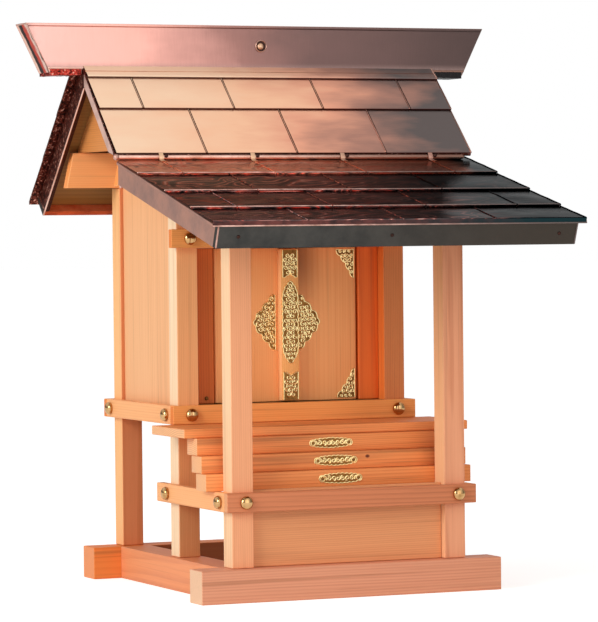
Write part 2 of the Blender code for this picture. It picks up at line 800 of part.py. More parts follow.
def build_doors():
    meeting_x = BATTEN_WIDTH / 2
    left = build_door("left", -1, HINGE_X + meeting_x)
    build_door("right", 1, HINGE_X - meeting_x - MEETING_GAP)
    back = -DOOR_THICKNESS / 2 - GAP
    front = back - BATTEN_DEPTH
    foot = DOOR_Z + BATTEN_SHORT
    head = DOOR_TOP - BATTEN_SHORT
    batten = block(
        "door_batten",
        (HINGE_X - BATTEN_WIDTH / 2, front, foot),
        (HINGE_X + BATTEN_WIDTH / 2, back, head),
        CYPRESS_DOOR,
        WOOD_EDGE,
        left,
    )
    half_end = END_PLATE_HEIGHT / 2
    plates = (
        ("batten_plate_bottom", END_PLATE_HEIGHT, False, True, foot + half_end),
        ("batten_plate_centre", CENTRE_PLATE_HEIGHT, True, True, DOOR_Z + CENTRE_PLATE_Z),
        ("batten_plate_top", END_PLATE_HEIGHT, True, False, head - half_end),
    )
    made = []
    for name, height, down, up, z in plates:
        outline = tablet_outline(BATTEN_PLATE_WIDTH, height - 2 * WOOD_EDGE, down, up)
        made.append(fitting(name, outline, front, z, HINGE_X))
    joined(batten, made)


build_base()
build_posts()
build_rails()
build_steps()
build_body()
build_roof_beams()
build_main_roof()
build_porch_roof()
build_ridge_box()
build_doors()
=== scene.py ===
# %% [markdown]
# # A miniature Shinto shrine under a copper roof
# The object is a shelf-sized shrine of plain planed cypress. Its roof is clad in
# copper sheet, and gilt openwork plates and brass dome nails trim the woodwork.
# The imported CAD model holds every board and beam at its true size. This script
# dresses it: it gives each board its own grain, lays the roof plate by plate,
# hangs detailed doors where the plain ones were, and sets up a plain studio.

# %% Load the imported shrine
import math

import bmesh
import bpy
from mathutils import Matrix, Vector, noise


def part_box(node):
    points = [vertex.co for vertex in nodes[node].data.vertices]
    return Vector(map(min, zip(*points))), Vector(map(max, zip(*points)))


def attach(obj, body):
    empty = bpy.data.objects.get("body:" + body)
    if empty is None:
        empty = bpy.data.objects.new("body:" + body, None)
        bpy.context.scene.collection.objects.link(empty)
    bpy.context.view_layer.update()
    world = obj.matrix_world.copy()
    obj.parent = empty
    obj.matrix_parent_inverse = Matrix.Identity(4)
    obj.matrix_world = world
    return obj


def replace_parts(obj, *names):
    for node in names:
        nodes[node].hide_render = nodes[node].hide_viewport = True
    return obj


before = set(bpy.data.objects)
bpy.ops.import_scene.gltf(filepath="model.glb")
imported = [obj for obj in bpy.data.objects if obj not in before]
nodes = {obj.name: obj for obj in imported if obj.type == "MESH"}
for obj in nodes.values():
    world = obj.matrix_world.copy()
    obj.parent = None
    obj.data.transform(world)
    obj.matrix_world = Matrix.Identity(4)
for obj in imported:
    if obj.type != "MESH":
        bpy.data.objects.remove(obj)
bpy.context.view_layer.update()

# %% [markdown]
# ## The camera
# The photograph is a catalogue cut-out on white, taken through a long lens from
# a little below the middle of the roof. A long lens from far away keeps the
# upright edges upright, so the camera stands nearly four metres off and is
# turned rather than shifted.

# %% Camera at the photograph's angle
PICTURE_HEIGHT = 622
FOCAL_PIXELS = 3638.27
SENSOR = 36.0
CAMERA_PLACE = Vector((-1.5654, -3.6090, 0.3879))
CAMERA_AZIMUTH = math.radians(-23.476)
CAMERA_RISE = math.radians(-1.315)
CAMERA_ROLL = math.radians(-0.581)


def photo_camera():
    """A camera that looks along the azimuth and rise, turned by the roll."""
    level = Vector((-math.sin(CAMERA_AZIMUTH), math.cos(CAMERA_AZIMUTH), 0.0))
    ahead = level * math.cos(CAMERA_RISE) + Vector((0, 0, math.sin(CAMERA_RISE)))
    side = Vector((math.cos(CAMERA_AZIMUTH), math.sin(CAMERA_AZIMUTH), 0.0))
    over = side.cross(ahead)
    right = side * math.cos(CAMERA_ROLL) + over * math.sin(CAMERA_ROLL)
    up = over * math.cos(CAMERA_ROLL) - side * math.sin(CAMERA_ROLL)
    data = bpy.data.cameras.new("photo_camera")
    data.sensor_width = SENSOR
    data.lens = FOCAL_PIXELS * SENSOR / PICTURE_HEIGHT
    camera = bpy.data.objects.new("photo_camera", data)
    turn = Matrix((right, up, -ahead)).transposed().to_4x4()
    camera.matrix_world = Matrix.Translation(CAMERA_PLACE) @ turn
    bpy.context.scene.collection.objects.link(camera)
    bpy.context.scene.camera = camera
    print("lens:", round(data.lens, 1), "mm")


photo_camera()
bpy.context.scene.view_settings.view_transform = "Standard"

# %% [markdown]
# ## Finishes as sums
# A finish is easiest to read when it is written the way one would say it: rings
# times a strength, plus some fibre. One small class wraps a socket, and an
# ordinary sum on it adds the Math node that works it out. A second class adds
# every other node, and a third holds the material that they belong to.


# %% A socket that can be used in sums
class Flow:
    """A socket of a finish. Sums with it add Math or Vector Math nodes."""

    def __init__(self, work, socket):
        self.work = work
        self.socket = socket
        self.wide = socket.type in {"VECTOR", "RGBA"}

    def join(self, operation, first, second):
        """Two values joined by one operation."""
        wide = any(isinstance(v, tuple) or getattr(v, "wide", False) for v in (first, second))
        kind = "ShaderNodeVectorMath" if wide else "ShaderNodeMath"
        values = [first, second]
        if wide:
            values = [(v, v, v) if isinstance(v, (int, float)) else v for v in values]
        return self.work.node(kind, {"operation": operation}, dict(enumerate(values)))

    def __add__(self, other):
        return self.join("ADD", self, other)

    def __radd__(self, other):
        return self.join("ADD", other, self)

    def __sub__(self, other):
        return self.join("SUBTRACT", self, other)

    def __rsub__(self, other):
        return self.join("SUBTRACT", other, self)

    def __mul__(self, other):
        return self.join("MULTIPLY", self, other)

    def __rmul__(self, other):
        return self.join("MULTIPLY", other, self)

    def __truediv__(self, other):
        return self.join("DIVIDE", self, other)

    def __abs__(self):
        return self.alone("ABSOLUTE")

    def alone(self, operation):
        """A one-value operation, such as FRACT or ABSOLUTE."""
        return self.work.node("ShaderNodeMath", {"operation": operation}, {0: self})

    def above(self, low, high):
        """A soft mask: 0 under low, 1 over high."""
        settings = {"interpolation_type": "SMOOTHSTEP"}
        inputs = {"Value": self, "From Min": low, "From Max": high}
        return self.work.node("ShaderNodeMapRange", settings, inputs)

    def below(self, low, high):
        """The same mask turned round: 1 under low, 0 over high."""
        return 1 - self.above(low, high)


# %% The nodes of a material or a world
class NodeWork:
    """Adds nodes to one tree."""

    def __init__(self, tree):
        self.tree = tree

    def node(self, kind, settings=None, inputs=None, output=0):
        """Add a node: its settings first, then its sockets' values or links."""
        made = self.tree.nodes.new(kind)
        for key, value in (settings or {}).items():
            if key == "stops":
                self.set_stops(made.color_ramp, value)
            else:
                setattr(made, key, value)
        for key, value in (inputs or {}).items():
            self.feed(made.inputs[key], value)
        return Flow(self, made.outputs[output])

    def set_stops(self, ramp, stops):
        """Colours of a ramp, from low to high."""
        while len(ramp.elements) < len(stops):
            ramp.elements.new(0.5)
        for element, (place, colour) in zip(ramp.elements, stops):
            element.position = place
            element.color = (*colour, 1.0)

    def feed(self, socket, value):
        """Link a flow to a socket, or set its value."""
        if isinstance(value, Flow):
            self.tree.links.new(value.socket, socket)
        elif socket.type == "RGBA" and len(value) == 3:
            socket.default_value = (*value, 1.0)
        else:
            socket.default_value = value

    def ray(self, kind):
        """1 for rays of one kind, such as those from the camera."""
        return self.node("ShaderNodeLightPath", output=f"Is {kind} Ray")

    def axes(self, vector):
        """The X, Y and Z of a vector, each on its own."""
        return [self.node("ShaderNodeSeparateXYZ", None, {0: vector}, output=n) for n in range(3)]


# %% A material under construction
class Finish(NodeWork):
    """A material, the solid coordinates of its piece, and helpers for its nodes."""

    def __init__(self, name, metallic=0.0, roughness=0.5, edge_glare=1.0):
        self.material = bpy.data.materials.new(name)
        self.material.use_nodes = True
        super().__init__(self.material.node_tree)
        self.shader = self.tree.nodes["Principled BSDF"]
        self.shader.inputs["Metallic"].default_value = metallic
        self.shader.inputs["Roughness"].default_value = roughness
        self.shader.inputs["Specular Tint"].default_value = (edge_glare, edge_glare, edge_glare, 1.0)
        self.place = self.node("ShaderNodeTexCoord", output="Object")
        self.along = self.axes(self.place)

    def give(self, **sockets):
        """Feed the shader's own sockets, with _ for a space in their names."""
        for name, value in sockets.items():
            self.feed(self.shader.inputs[name.replace("_", " ")], value)
        return self

    def outward(self):
        """The direction in which a face looks."""
        return self.node("ShaderNodeTexCoord", output="Normal")

    def facing(self, direction):
        """How squarely a face looks in a direction: 1 square on, 0 side on."""
        settings = {"operation": "DOT_PRODUCT"}
        return self.node("ShaderNodeVectorMath", settings, {0: self.outward(), 1: direction}, output=1)

    def cloud(self, vector, detail=2.0, rough=0.5):
        """Noise from 0 to 1, mostly near the middle."""
        inputs = {"Vector": vector, "Scale": 1.0, "Detail": detail, "Roughness": rough}
        return self.node("ShaderNodeTexNoise", None, inputs)

    def mix(self, factor, low, high):
        """One colour where the factor is 0 and the other where it is 1."""
        inputs = {0: factor, 6: low, 7: high}
        return self.node("ShaderNodeMix", {"data_type": "RGBA"}, inputs, output=2)

    def ramp(self, factor, stops):
        """A colour looked up along a row of stops."""
        return self.node("ShaderNodeValToRGB", {"stops": stops}, {0: factor})

    def bump(self, height, strength, distance):
        """A normal that follows a height in shares of a distance."""
        inputs = {"Height": height, "Strength": strength, "Distance": distance}
        return self.node("ShaderNodeBump", None, inputs)


# %% [markdown]
# ## Studio
# Soft light comes from the left, with a weaker lamp in front, and the world
# fills the shadows. The white background is one that only the camera and the
# reflections see, so that it doesn't flood the wood with light. Metal needs
# something darker to reflect as well: grey flags at the left front, far to the
# right and low behind draw dark edges into the brass as a photographer's would.

# %% Light, background and floor
FILL = 0.5
LEFT_FLAG = 0.62
LEFT_EDGE = (-0.75, -0.1)
RIGHT_FLAG = 0.65
RIGHT_EDGE = (0.6, 0.8)
FRONT_EDGE = (-0.1, 0.3)
BACK_FLAG = 0.7
BACK_EDGE = (0.2, 0.45)
BACK_TOP = (0.18, 0.32)
FLOOR_REACH = 30.0
FLOOR_GLOW = 0.55
LAMP_AIM = (0.0, 0.0, 0.3)
LAMPS = {
    "key_from_the_left": ((-3.0, -1.2, 1.4), 1.6, 65.0),
    "front_fill": ((0.2, -3.4, 1.2), 2.7, 26.0),
}


def white_world():
    """White to the camera, flagged in reflections, and a softer fill for the rest."""
    world = bpy.data.worlds.new("studio")
    bpy.context.scene.world = world
    world.use_nodes = True
    sky = NodeWork(world.node_tree)
    x, y, z = sky.axes(sky.node("ShaderNodeTexCoord", output="Generated"))
    left = x.below(*LEFT_EDGE) * y.below(*FRONT_EDGE)
    right = x.above(*RIGHT_EDGE) * y.below(*FRONT_EDGE)
    behind = y.above(*BACK_EDGE) * abs(z).below(*BACK_TOP)
    flagged = 1 - left * LEFT_FLAG - right * RIGHT_FLAG - behind * BACK_FLAG
    mirrored = (sky.ray("Glossy") + sky.ray("Transmission")) * flagged
    seen = sky.ray("Camera") + mirrored
    other = 1 - sky.ray("Camera") - sky.ray("Glossy") - sky.ray("Transmission")
    back = sky.tree.nodes["Background"]
    back.inputs["Color"].default_value = (1.0, 1.0, 1.0, 1.0)
    sky.feed(back.inputs["Strength"], seen + other.above(0.0, 1.0) * FILL)


def soft_lamp(name, place, size, power):
    """A square soft box that faces the shrine."""
    data = bpy.data.lights.new(name, "AREA")
    data.size = size
    data.energy = power
    lamp = bpy.data.objects.new(name, data)
    aim = (Vector(LAMP_AIM) - Vector(place)).to_track_quat("-Z", "Y")
    lamp.matrix_world = Matrix.Translation(place) @ aim.to_matrix().to_4x4()
    bpy.context.scene.collection.objects.link(lamp)


def pale_floor():
    """A wide floor that shows white, with the shrine's soft shadow kept."""
    shape = bmesh.new()
    bmesh.ops.create_grid(shape, x_segments=2, y_segments=2, size=FLOOR_REACH)
    mesh = bpy.data.meshes.new("studio_floor")
    shape.to_mesh(mesh)
    shape.free()
    floor = bpy.data.objects.new("studio_floor", mesh)
    bpy.context.scene.collection.objects.link(floor)
    paint = Finish("studio_floor_paint", roughness=0.9)
    grain = paint.cloud(paint.place * 3.0)
    paint.give(Base_Color=paint.mix(grain, (0.90, 0.90, 0.89), (0.89, 0.89, 0.88)))
    glow = paint.ray("Camera") + paint.ray("Glossy") + paint.ray("Transmission")
    paint.give(Emission_Color=glow * (FLOOR_GLOW, FLOOR_GLOW, FLOOR_GLOW), Emission_Strength=1.0)
    mesh.materials.append(paint.material)


white_world()
for name, (place, size, power) in LAMPS.items():
    soft_lamp(name, place, size, power)
pale_floor()
print("lamps:", len(LAMPS))

# %% [markdown]
# ## Planed cypress
# The wood is straight-grained cypress, sawn so that the year rings show as fine
# parallel lines. A solid texture suits it best: each board is cut from an
# imagined log, so the rings run as lines along its faces and as arcs on its
# ends, and they meet at the corners. The grain's direction, the place of the
# log's heart and the tone differ from board to board, as they do on a bench.
# End grain drinks more oil from the hand and looks deeper.

# %% Tones of the wood
# Each tone is the pale early wood and the deep late wood of a board.
TONES = {
    "rose": ((0.94, 0.42, 0.21), (0.78, 0.29, 0.13)),
    # A darker copy of rose for the right porch post: painted shade, as the light falls off to the right.
    "dusk": ((0.89, 0.39, 0.21), (0.69, 0.25, 0.12)),
    "base": ((0.82, 0.36, 0.21), (0.62, 0.22, 0.115)),
    "base side": ((0.88, 0.34, 0.15), (0.66, 0.20, 0.08)),
    "vivid": ((0.90, 0.27, 0.06), (0.76, 0.17, 0.035)),
    "tan": ((0.88, 0.39, 0.175), (0.70, 0.26, 0.10)),
    "honey": ((0.96, 0.47, 0.20), (0.82, 0.33, 0.12)),
    "orange": ((0.97, 0.41, 0.115), (0.80, 0.26, 0.06)),
    # copper and clay are darkened for the right front post and the rear left post, which stand in shade:
    # painted shade.
    "copper": ((0.76, 0.26, 0.08), (0.56, 0.16, 0.045)),
    "clay": ((0.78, 0.28, 0.115), (0.60, 0.18, 0.065)),
    "step": ((0.97, 0.35, 0.11), (0.68, 0.18, 0.045)),
    "door": ((1.0, 0.46, 0.175), (0.90, 0.33, 0.10)),
    "batten": ((1.0, 0.52, 0.18), (0.96, 0.40, 0.11)),
    "pale": ((0.89, 0.48, 0.235), (0.78, 0.36, 0.155)),
    "russet": ((0.94, 0.21, 0.032), (0.70, 0.12, 0.016)),
    # A darker copy of russet for the left jamb: painted shade where the left post keeps the light off it.
    "dim russet": ((0.74, 0.18, 0.032), (0.54, 0.11, 0.016)),
    "umber": ((0.30, 0.14, 0.035), (0.18, 0.075, 0.016)),
    "amber": ((0.70, 0.27, 0.075), (0.46, 0.15, 0.035)),
    "brown": ((0.72, 0.24, 0.105), (0.46, 0.14, 0.055)),
}
print("tones of cypress:", len(TONES))

# %% Year rings and fibre of one board
RING = 0.0021
PITH = 0.09
# Painted shade: every board's colour darkens towards the right, as the light falls off from the left.
PAINTED_SHADE_TO_THE_RIGHT = 0.5
AXES = {"X": (1, 2, 0), "Y": (0, 2, 1), "Z": (0, 1, 2)}


class Grain:
    """Noises drawn out along a board's grain, and the year rings of its log."""

    def __init__(self, finish, grain, seed):
        across, over, self.length = AXES[grain]
        self.finish = finish
        self.moved = finish.place + (seed * 1.7, seed * 0.9, seed * 2.3)
        self.wander = self.drawn_out(60.0, 3.2, 3.0)
        self.streak = self.drawn_out(420.0, 5.0, 2.0, 0.6)
        self.fibre = self.drawn_out(1500.0, 34.0, 2.0, 0.65)
        self.dirt = self.drawn_out(110.0, 2.4)
        bend = self.drawn_out(14.0, 1.4)
        heart = PITH * (1.0 + 0.35 * math.sin(seed * 2.1))
        u = finish.along[across] + heart * math.cos(seed)
        v = finish.along[over] + heart * math.sin(seed) * 0.6
        radius = (u * u + v * v).alone("SQRT") + bend * 0.007 + self.wander * 0.0016
        ring = (radius / RING).alone("FRACT")
        self.late = ring.above(0.3, 0.9) * ring.below(0.92, 1.0)
        year = finish.cloud(radius * (420.0, 0.0, 0.0), 1.0)
        depth = self.late * year * 0.55 + self.streak * 0.45 + bend * 0.5 + self.fibre * 0.22
        # The last term is the painted shade that grows to the right.
        self.depth = depth - 0.28 + finish.along[0] * PAINTED_SHADE_TO_THE_RIGHT

    def drawn_out(self, wide, long, detail=2.0, rough=0.5):
        """Noise that changes fast across the grain and slowly along it."""
        scales = [wide, wide, wide]
        scales[self.length] = long
        return self.finish.cloud(self.moved * tuple(scales), detail, rough)


# %% [markdown]
# Some boards have more to tell. A leaf glued up from planks shows each plank's
# own tone and a fine joint. A post's left side, which meets the light, gets a colour
# of its own as painted light, and its cut ends drink in the stain. Where one board
# stands in another one's way a painted shadow darkens the corner, and the middle
# step has a knot. Each of these is one mask and one more colour, so a board asks
# only for what it has.

# %% Planed cypress, with what a board may have besides
STAIN = (0.30, 0.10, 0.035)
# Painted shade: the brown laid where one board shades another.
PAINTED_SHADE_BROWN = (0.16, 0.045, 0.02)
KNOT_BROWN = (0.16, 0.035, 0.012)
# Late wood of a board's lit left side, which is painted light.
LIT_SIDE_LATE = (0.92, 0.80, 0.68)
SAWN_DEPTH = (1.0, 0.8, 0.55)


def deepened(colour, shares):
    """A colour with each channel cut to a share."""
    return tuple(channel * share for channel, share in zip(colour, shares))


def plank_marks(finish, width, seed):
    """A shade of its own for each plank of a width, and the joints between them."""
    count = finish.along[0] / width + seed
    chance = {"W": count.alone("FLOOR")}
    shade = finish.node("ShaderNodeTexWhiteNoise", {"noise_dimensions": "1D"}, chance)
    joint = abs(count.alone("FRACT") - 0.5).above(0.485, 0.5)
    return (shade - 0.5) * 0.3 + joint * 0.7


def painted_shade_on_front(finish, across, upward, strength):
    """A painted shade mask on front faces that grows between two X and two Z values."""
    shaded_area = finish.along[0].above(*across) * finish.along[2].above(*upward)
    return shaded_area * finish.facing((0.0, -1.0, 0.0)).above(0.5, 0.9) * strength


def cypress(name, grain, tone, seed, planks=0.0, stained=0.2, ends=None, left=None, shadow=None, knot=None):
    """Planed wood whose grain runs along X, Y or Z. A left colour is painted light, a shadow painted shade.
    """
    finish = Finish(name, roughness=0.5)
    finish.give(Specular_IOR_Level=0.25)
    pale, deep = TONES[tone]
    wood = Grain(finish, grain, seed)
    depth = wood.depth + plank_marks(finish, planks, seed) if planks else wood.depth
    late = depth.above(0.0, 1.0)
    colour = finish.mix(late, pale, deep)
    # Painted shadow on front faces, where another board stands in the light's way.
    if shadow:
        colour = finish.mix(painted_shade_on_front(finish, *shadow), colour, PAINTED_SHADE_BROWN)
    # Painted light: the left side, which the light meets, gets a colour of its own.
    if left:
        lit_side = finish.mix(late, left, deepened(left, LIT_SIDE_LATE))
        colour = finish.mix(finish.facing((-1.0, 0.0, 0.0)).above(0.6, 0.9), colour, lit_side)
    colour = finish.mix(wood.dirt.above(0.56, 0.72) * stained, colour, STAIN)
    colour = finish.mix(wood.streak.above(0.62, 0.80) * stained * 1.2, colour, STAIN)
    sawn = abs(finish.axes(finish.outward())[wood.length]).above(0.6, 0.9)
    rings = finish.mix(wood.late * 0.3, ends or deepened(deep, SAWN_DEPTH), STAIN)
    colour = finish.mix(sawn * 0.85, colour, rings)
    if knot:
        aside = finish.along[0] - knot[0]
        above = finish.along[2] - knot[2]
        apart = (aside * aside * 0.5 + above * above).alone("SQRT") + (wood.wander - 0.5) * 0.001
        colour = finish.mix(apart.below(0.0010, 0.0021), colour, KNOT_BROWN)
    finish.give(Base_Color=colour, Roughness=0.46 + wood.fibre * 0.16 - wood.late * 0.06)
    finish.give(Normal=finish.bump(wood.late * 0.5 + wood.fibre * 0.6, 0.2, 0.0004))
    return finish.material


# %% Which board has which grain
WOODWORK = {
    ("X", "base"): ["base_front_beam"],
    ("X", "vivid"): ["base_rear_beam"],
    ("X", "brown"): ["lower_rail_front"],
    ("X", "orange"): ["upper_rail_front", "upper_rail_rear", "top_rail_front"],
    ("X", "tan"): ["apron_board", "transom_board", "door_head", "porch_ledger", "porch_beam"],
    ("X", "step"): ["platform"],
    ("X", "umber"): ["main_roof_board_front", "main_roof_board_rear", "porch_roof_board", "floor_board"],
    ("Y", "base side"): ["base_side_beam_left", "base_side_beam_right"],
    ("Y", "honey"): ["lower_rail_left", "lower_rail_right", "upper_rail_left", "upper_rail_right"],
    ("Y", "amber"): ["gable_board_left", "gable_board_right"],
    ("X", "door"): ["wall_plate_front", "wall_plate_rear"],
    ("Z", "rose"): ["porch_post_left"],
    ("Z", "dusk"): ["porch_post_right"],
    ("Z", "honey"): ["body_post_front_left", "body_post_rear_right"],
    ("Z", "clay"): ["body_post_rear_left"],
    ("Z", "copper"): ["body_post_front_right"],
    ("Z", "dim russet"): ["door_jamb_left"],
    ("Z", "russet"): ["door_jamb_right"],
    ("Z", "pale"): ["side_wall_left", "side_wall_right", "rear_wall"],
}
BEAM_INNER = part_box("base_side_beam_left")[1].x
# Painted shadows: inside the base beside its side beam, and low on the front left post.
SHADE_RIGHT_OF_BEAM = ((BEAM_INNER - 0.002, BEAM_INNER + 0.002), (-0.2, -0.1), 0.85)
SHADE_LOW_ON_POST = ((-0.5, -0.4), (0.112, 0.098), 0.28)
# A left colour below is painted light on a post's left side; a shadow is painted shade on its front.
BESIDES = {
    "base_front_beam": {"stained": 0.4, "ends": (0.90, 0.60, 0.38)},
    "base_rear_beam": {"stained": 0.4, "ends": (0.90, 0.33, 0.13), "shadow": SHADE_RIGHT_OF_BEAM},
    "lower_rail_front": {"stained": 0.55, "ends": (0.86, 0.42, 0.20)},
    "platform": {"stained": 0.5, "ends": (0.90, 0.50, 0.25)},
    "wall_plate_front": {"ends": (1.0, 0.31, 0.055)},
    "wall_plate_rear": {"ends": (0.98, 0.33, 0.085)},
    "porch_post_left": {"left": (0.93, 0.62, 0.37)},
    "porch_post_right": {"left": (0.93, 0.56, 0.31)},
    "body_post_front_left": {"left": (0.95, 0.72, 0.48), "shadow": SHADE_LOW_ON_POST},
    "body_post_front_right": {"left": (0.92, 0.27, 0.055)},
    "body_post_rear_left": {"left": (0.96, 0.52, 0.22)},
}


def finish_node(name, material):
    """Give a CAD node one material on all its faces."""
    mesh = nodes[name].data
    for slot in nodes[name].material_slots:
        slot.material = material
    if not mesh.materials:
        mesh.materials.append(material)


count = 0
for (grain, tone), names in WOODWORK.items():
    for name in names:
        count += 1
        finish_node(name, cypress(f"cypress_{name}", grain, tone, float(count), **BESIDES.get(name, {})))
print("boards given a grain:", count)

# %% [markdown]
# ## Copper sheet
# Fresh copper mirrors its surroundings in a warm pink. A painted reflection darkens
# it to a smoky grey that grows to the right. Every plate of a roof is its own
# cut from the roll, so each one's tone is shifted a little: Random Per Island
# gives one number for each loose piece of a mesh. The folded edges are painted
# dark red as shade, and the side folds get a painted highlight where the sheet
# is darkest. Both are found by the direction in which they face.


# %% Helpers shared by the metals
def rolled(finish, scales=240.0):
    """Fine rolling marks of the mill, from 0 to 1."""
    return finish.cloud(finish.place * scales, 3.0, 0.6)


def plate_chance(finish):
    """One number from 0 to 1 for each loose plate."""
    return finish.node("ShaderNodeNewGeometry", output="Random Per Island")


# %% Bright sheet of the main slopes
PITCH_OUT = math.sqrt(0.5)
# The painted reflection darkens the slopes between these two X places.
DARK_REFLECTION_FROM = -0.17
DARK_REFLECTION_TO = 0.20


def slope_copper(name, lower_row, metallic=1.0, pale=0.0):
    """Fresh sheet on the left, with a painted reflection that darkens it to the right."""
    finish = Finish(name, metallic=metallic, roughness=0.3, edge_glare=0.7)
    marks = rolled(finish, (60.0, 900.0, 900.0))
    patch = finish.cloud(finish.place * (8.0, 20.0, 20.0), 3.0, 0.55)
    side = finish.along[0] + (patch - 0.5) * 0.30 + (plate_chance(finish) - 0.5) * 0.08
    # Painted reflection: dark to the right, and a little darker on the lower row.
    low = finish.along[2].below(lower_row - 0.006, lower_row + 0.006)
    dark_reflection = (side - DARK_REFLECTION_FROM) / (DARK_REFLECTION_TO - DARK_REFLECTION_FROM) + low * 0.1
    colour = finish.ramp(
        dark_reflection + (marks - 0.5) * 0.08,
        [
            (0.0, (0.97, 0.67, 0.46)),
            (0.35, (0.95, 0.55, 0.35)),
            (0.58, (0.82, 0.38, 0.25)),
            (0.78, (0.44, 0.22, 0.165)),
            (1.0, (0.13, 0.105, 0.10)),
        ],
    )
    # Painted light: a pale wash where asked for, fading where the reflection grows dark.
    if pale:
        colour = finish.mix(pale - dark_reflection.above(0.25, 0.75) * pale, colour, (1.0, 0.74, 0.52))
    # Painted shade on the folds in dark red, with a painted highlight on side folds where the sheet is dark.
    across, lean, rise = finish.axes(finish.outward())
    flat = (abs(lean) + rise) * PITCH_OUT
    fold_highlight = dark_reflection.above(0.62, 0.85) * abs(across).above(0.2, 0.5)
    fold = finish.mix(fold_highlight, (0.09, 0.02, 0.015), (0.70, 0.40, 0.31))
    colour = finish.mix(flat.below(0.86, 0.975) * 0.95, colour, fold)
    finish.give(Base_Color=colour, Roughness=0.24 + marks * 0.14)
    finish.give(Normal=finish.bump(marks * 0.6 + patch * 2.0, 0.12, 0.0006))
    return finish.material


# %% Sheet of the ridge box
def ridge_face_copper(name, fold_z):
    """Painted reflection: pink near the left end, dark brown from the middle on; greyer at its foot."""
    finish = Finish(name, metallic=1.0, roughness=0.3, edge_glare=0.6)
    marks = rolled(finish, (700.0, 60.0, 60.0))
    patch = finish.cloud(finish.place * (11.0, 11.0, 26.0), 3.0, 0.55)
    side = finish.along[0] + (patch - 0.5) * 0.10
    colour = finish.ramp(
        (side + 0.28) / 0.56 + (marks - 0.5) * 0.03,
        [
            (0.0, (0.33, 0.20, 0.18)),
            (0.05, (0.70, 0.38, 0.33)),
            (0.24, (0.70, 0.35, 0.29)),
            (0.33, (0.50, 0.25, 0.21)),
            (0.45, (0.28, 0.140, 0.120)),
            (0.62, (0.150, 0.088, 0.080)),
            (1.0, (0.083, 0.056, 0.052)),
        ],
    )
    low = finish.along[2].below(fold_z, fold_z + 0.008)
    colour = finish.mix(low * (0.3 + marks * 0.5), colour, (0.30, 0.20, 0.18))
    finish.give(Base_Color=colour, Roughness=0.28 + marks * 0.14)
    finish.give(Normal=finish.bump(marks * 0.7 + patch * 1.5, 0.14, 0.0006))
    return finish.material


# %% [markdown]
# The porch roof has turned darker and glossier. Its long red contour lines, with
# thin pale ones among them, are painted reflections, more of them at the back and
# left. Its top course is painted redder, and its right end nearly black with a
# cool cast: painted reflections too. Contours come from a slow noise taken several
# times over: wherever its fraction passes the middle, there is a line. The
# camera sees this roof at a grazing angle, where a metal would turn white, so
# the edge tint of the shader is lowered, as an oxide skin does.


# %% Dark sheet of the porch roof
# The near black of the right end, a painted reflection of darkness.
DARK_REFLECTION_TEAL = (0.0, 0.017, 0.021)


def porch_copper(name, top_row):
    """Dark glossy sheet with painted reflections: red contour lines and a redder top course."""
    finish = Finish(name, metallic=1.0, roughness=0.12, edge_glare=0.36)
    bend = finish.cloud(finish.place * (5.0, 14.0, 14.0), 1.0)
    field = finish.cloud(finish.place * (6.0, 24.0, 24.0) + bend * 2.2, 2.0, 0.45)
    phase = (field * 21.0 + plate_chance(finish) * 0.7).alone("FRACT")
    apart = abs(phase - 0.5) * 2.0
    right = finish.along[0].above(-0.04, 0.15)
    back = finish.along[1].above(-0.26, -0.05)
    top = finish.along[1].above(top_row - 0.002, top_row + 0.002)
    drawn = (0.75 + back * 0.25) * (1 - right * 0.95)
    # Painted reflections: red lines, thin pale lines and dark hollows between them.
    red = apart.below(0.16, 0.50) * drawn
    thin = apart.below(0.04, 0.20) * drawn * bend.above(0.38, 0.52)
    hollow = apart.above(0.52, 0.70) * drawn
    ground = finish.mix(right, (0.215, 0.160, 0.158), (0.0, 0.014, 0.018))
    colour = finish.mix(red, ground, (0.62, 0.12, 0.08))
    colour = finish.mix(thin, colour, (1.0, 0.66, 0.58))
    colour = finish.mix(hollow * 0.75, colour, (0.055, 0.036, 0.035))
    # The top course's redder colour, with less metal, is a painted reflection too.
    top_reflection = finish.mix(apart.below(0.05, 0.35), (0.95, 0.38, 0.22), (0.85, 0.10, 0.03))
    top_reflection = finish.mix(apart.above(0.74, 0.90) * 0.85, top_reflection, (0.10, 0.012, 0.008))
    top_reflection = finish.mix(right * 0.5, top_reflection, (0.40, 0.12, 0.085))
    top_reflection = finish.mix(finish.along[0].above(0.165, 0.19), top_reflection, DARK_REFLECTION_TEAL)
    colour = finish.mix(top, colour, top_reflection)
    finish.give(Base_Color=colour, Metallic=1 - top * (1 - right * 0.8) * 0.35, Roughness=0.10 + field * 0.14)
    finish.give(Normal=finish.bump(field + apart * 0.06, 0.3, 0.0016))
    return finish.material


# %% [markdown]
# Sheet that is worked by hand loses its mirror. The fascia, the hems and the
# straps have gone dull in clouds, and most are painted darker towards the right
# end as reflection. Where the sheet is pressed over an end it crumples like foil:
# a fine noise is cut into folds painted black as shade, red flanks and tips
# painted pale as glints, and the same noise bumps the surface, so that colour and
# relief agree.


# %% Sheet that has gone dull
def dull_copper(name, colour, shade, far=None, scale=30.0):
    """Sheet that has gone dull: two tones in clouds, and a third towards the right end as painted reflection.
    """
    finish = Finish(name, metallic=0.85, roughness=0.4, edge_glare=0.6)
    patch = finish.cloud(finish.place * scale, 4.0, 0.6)
    marks = rolled(finish)
    tone = finish.mix(patch.above(0.3, 0.75), colour, shade)
    # The third tone is painted reflection, darker towards the right end.
    if far:
        tone = finish.mix(finish.along[0].above(-0.12, 0.18), tone, far)
    finish.give(Base_Color=tone, Roughness=0.34 + marks * 0.18)
    finish.give(Normal=finish.bump(patch * 1.5 + marks, 0.15, 0.0006))
    return finish.material


# %% Crumpled sheet
RED_FLANK = (0.20, 0.045, 0.028)


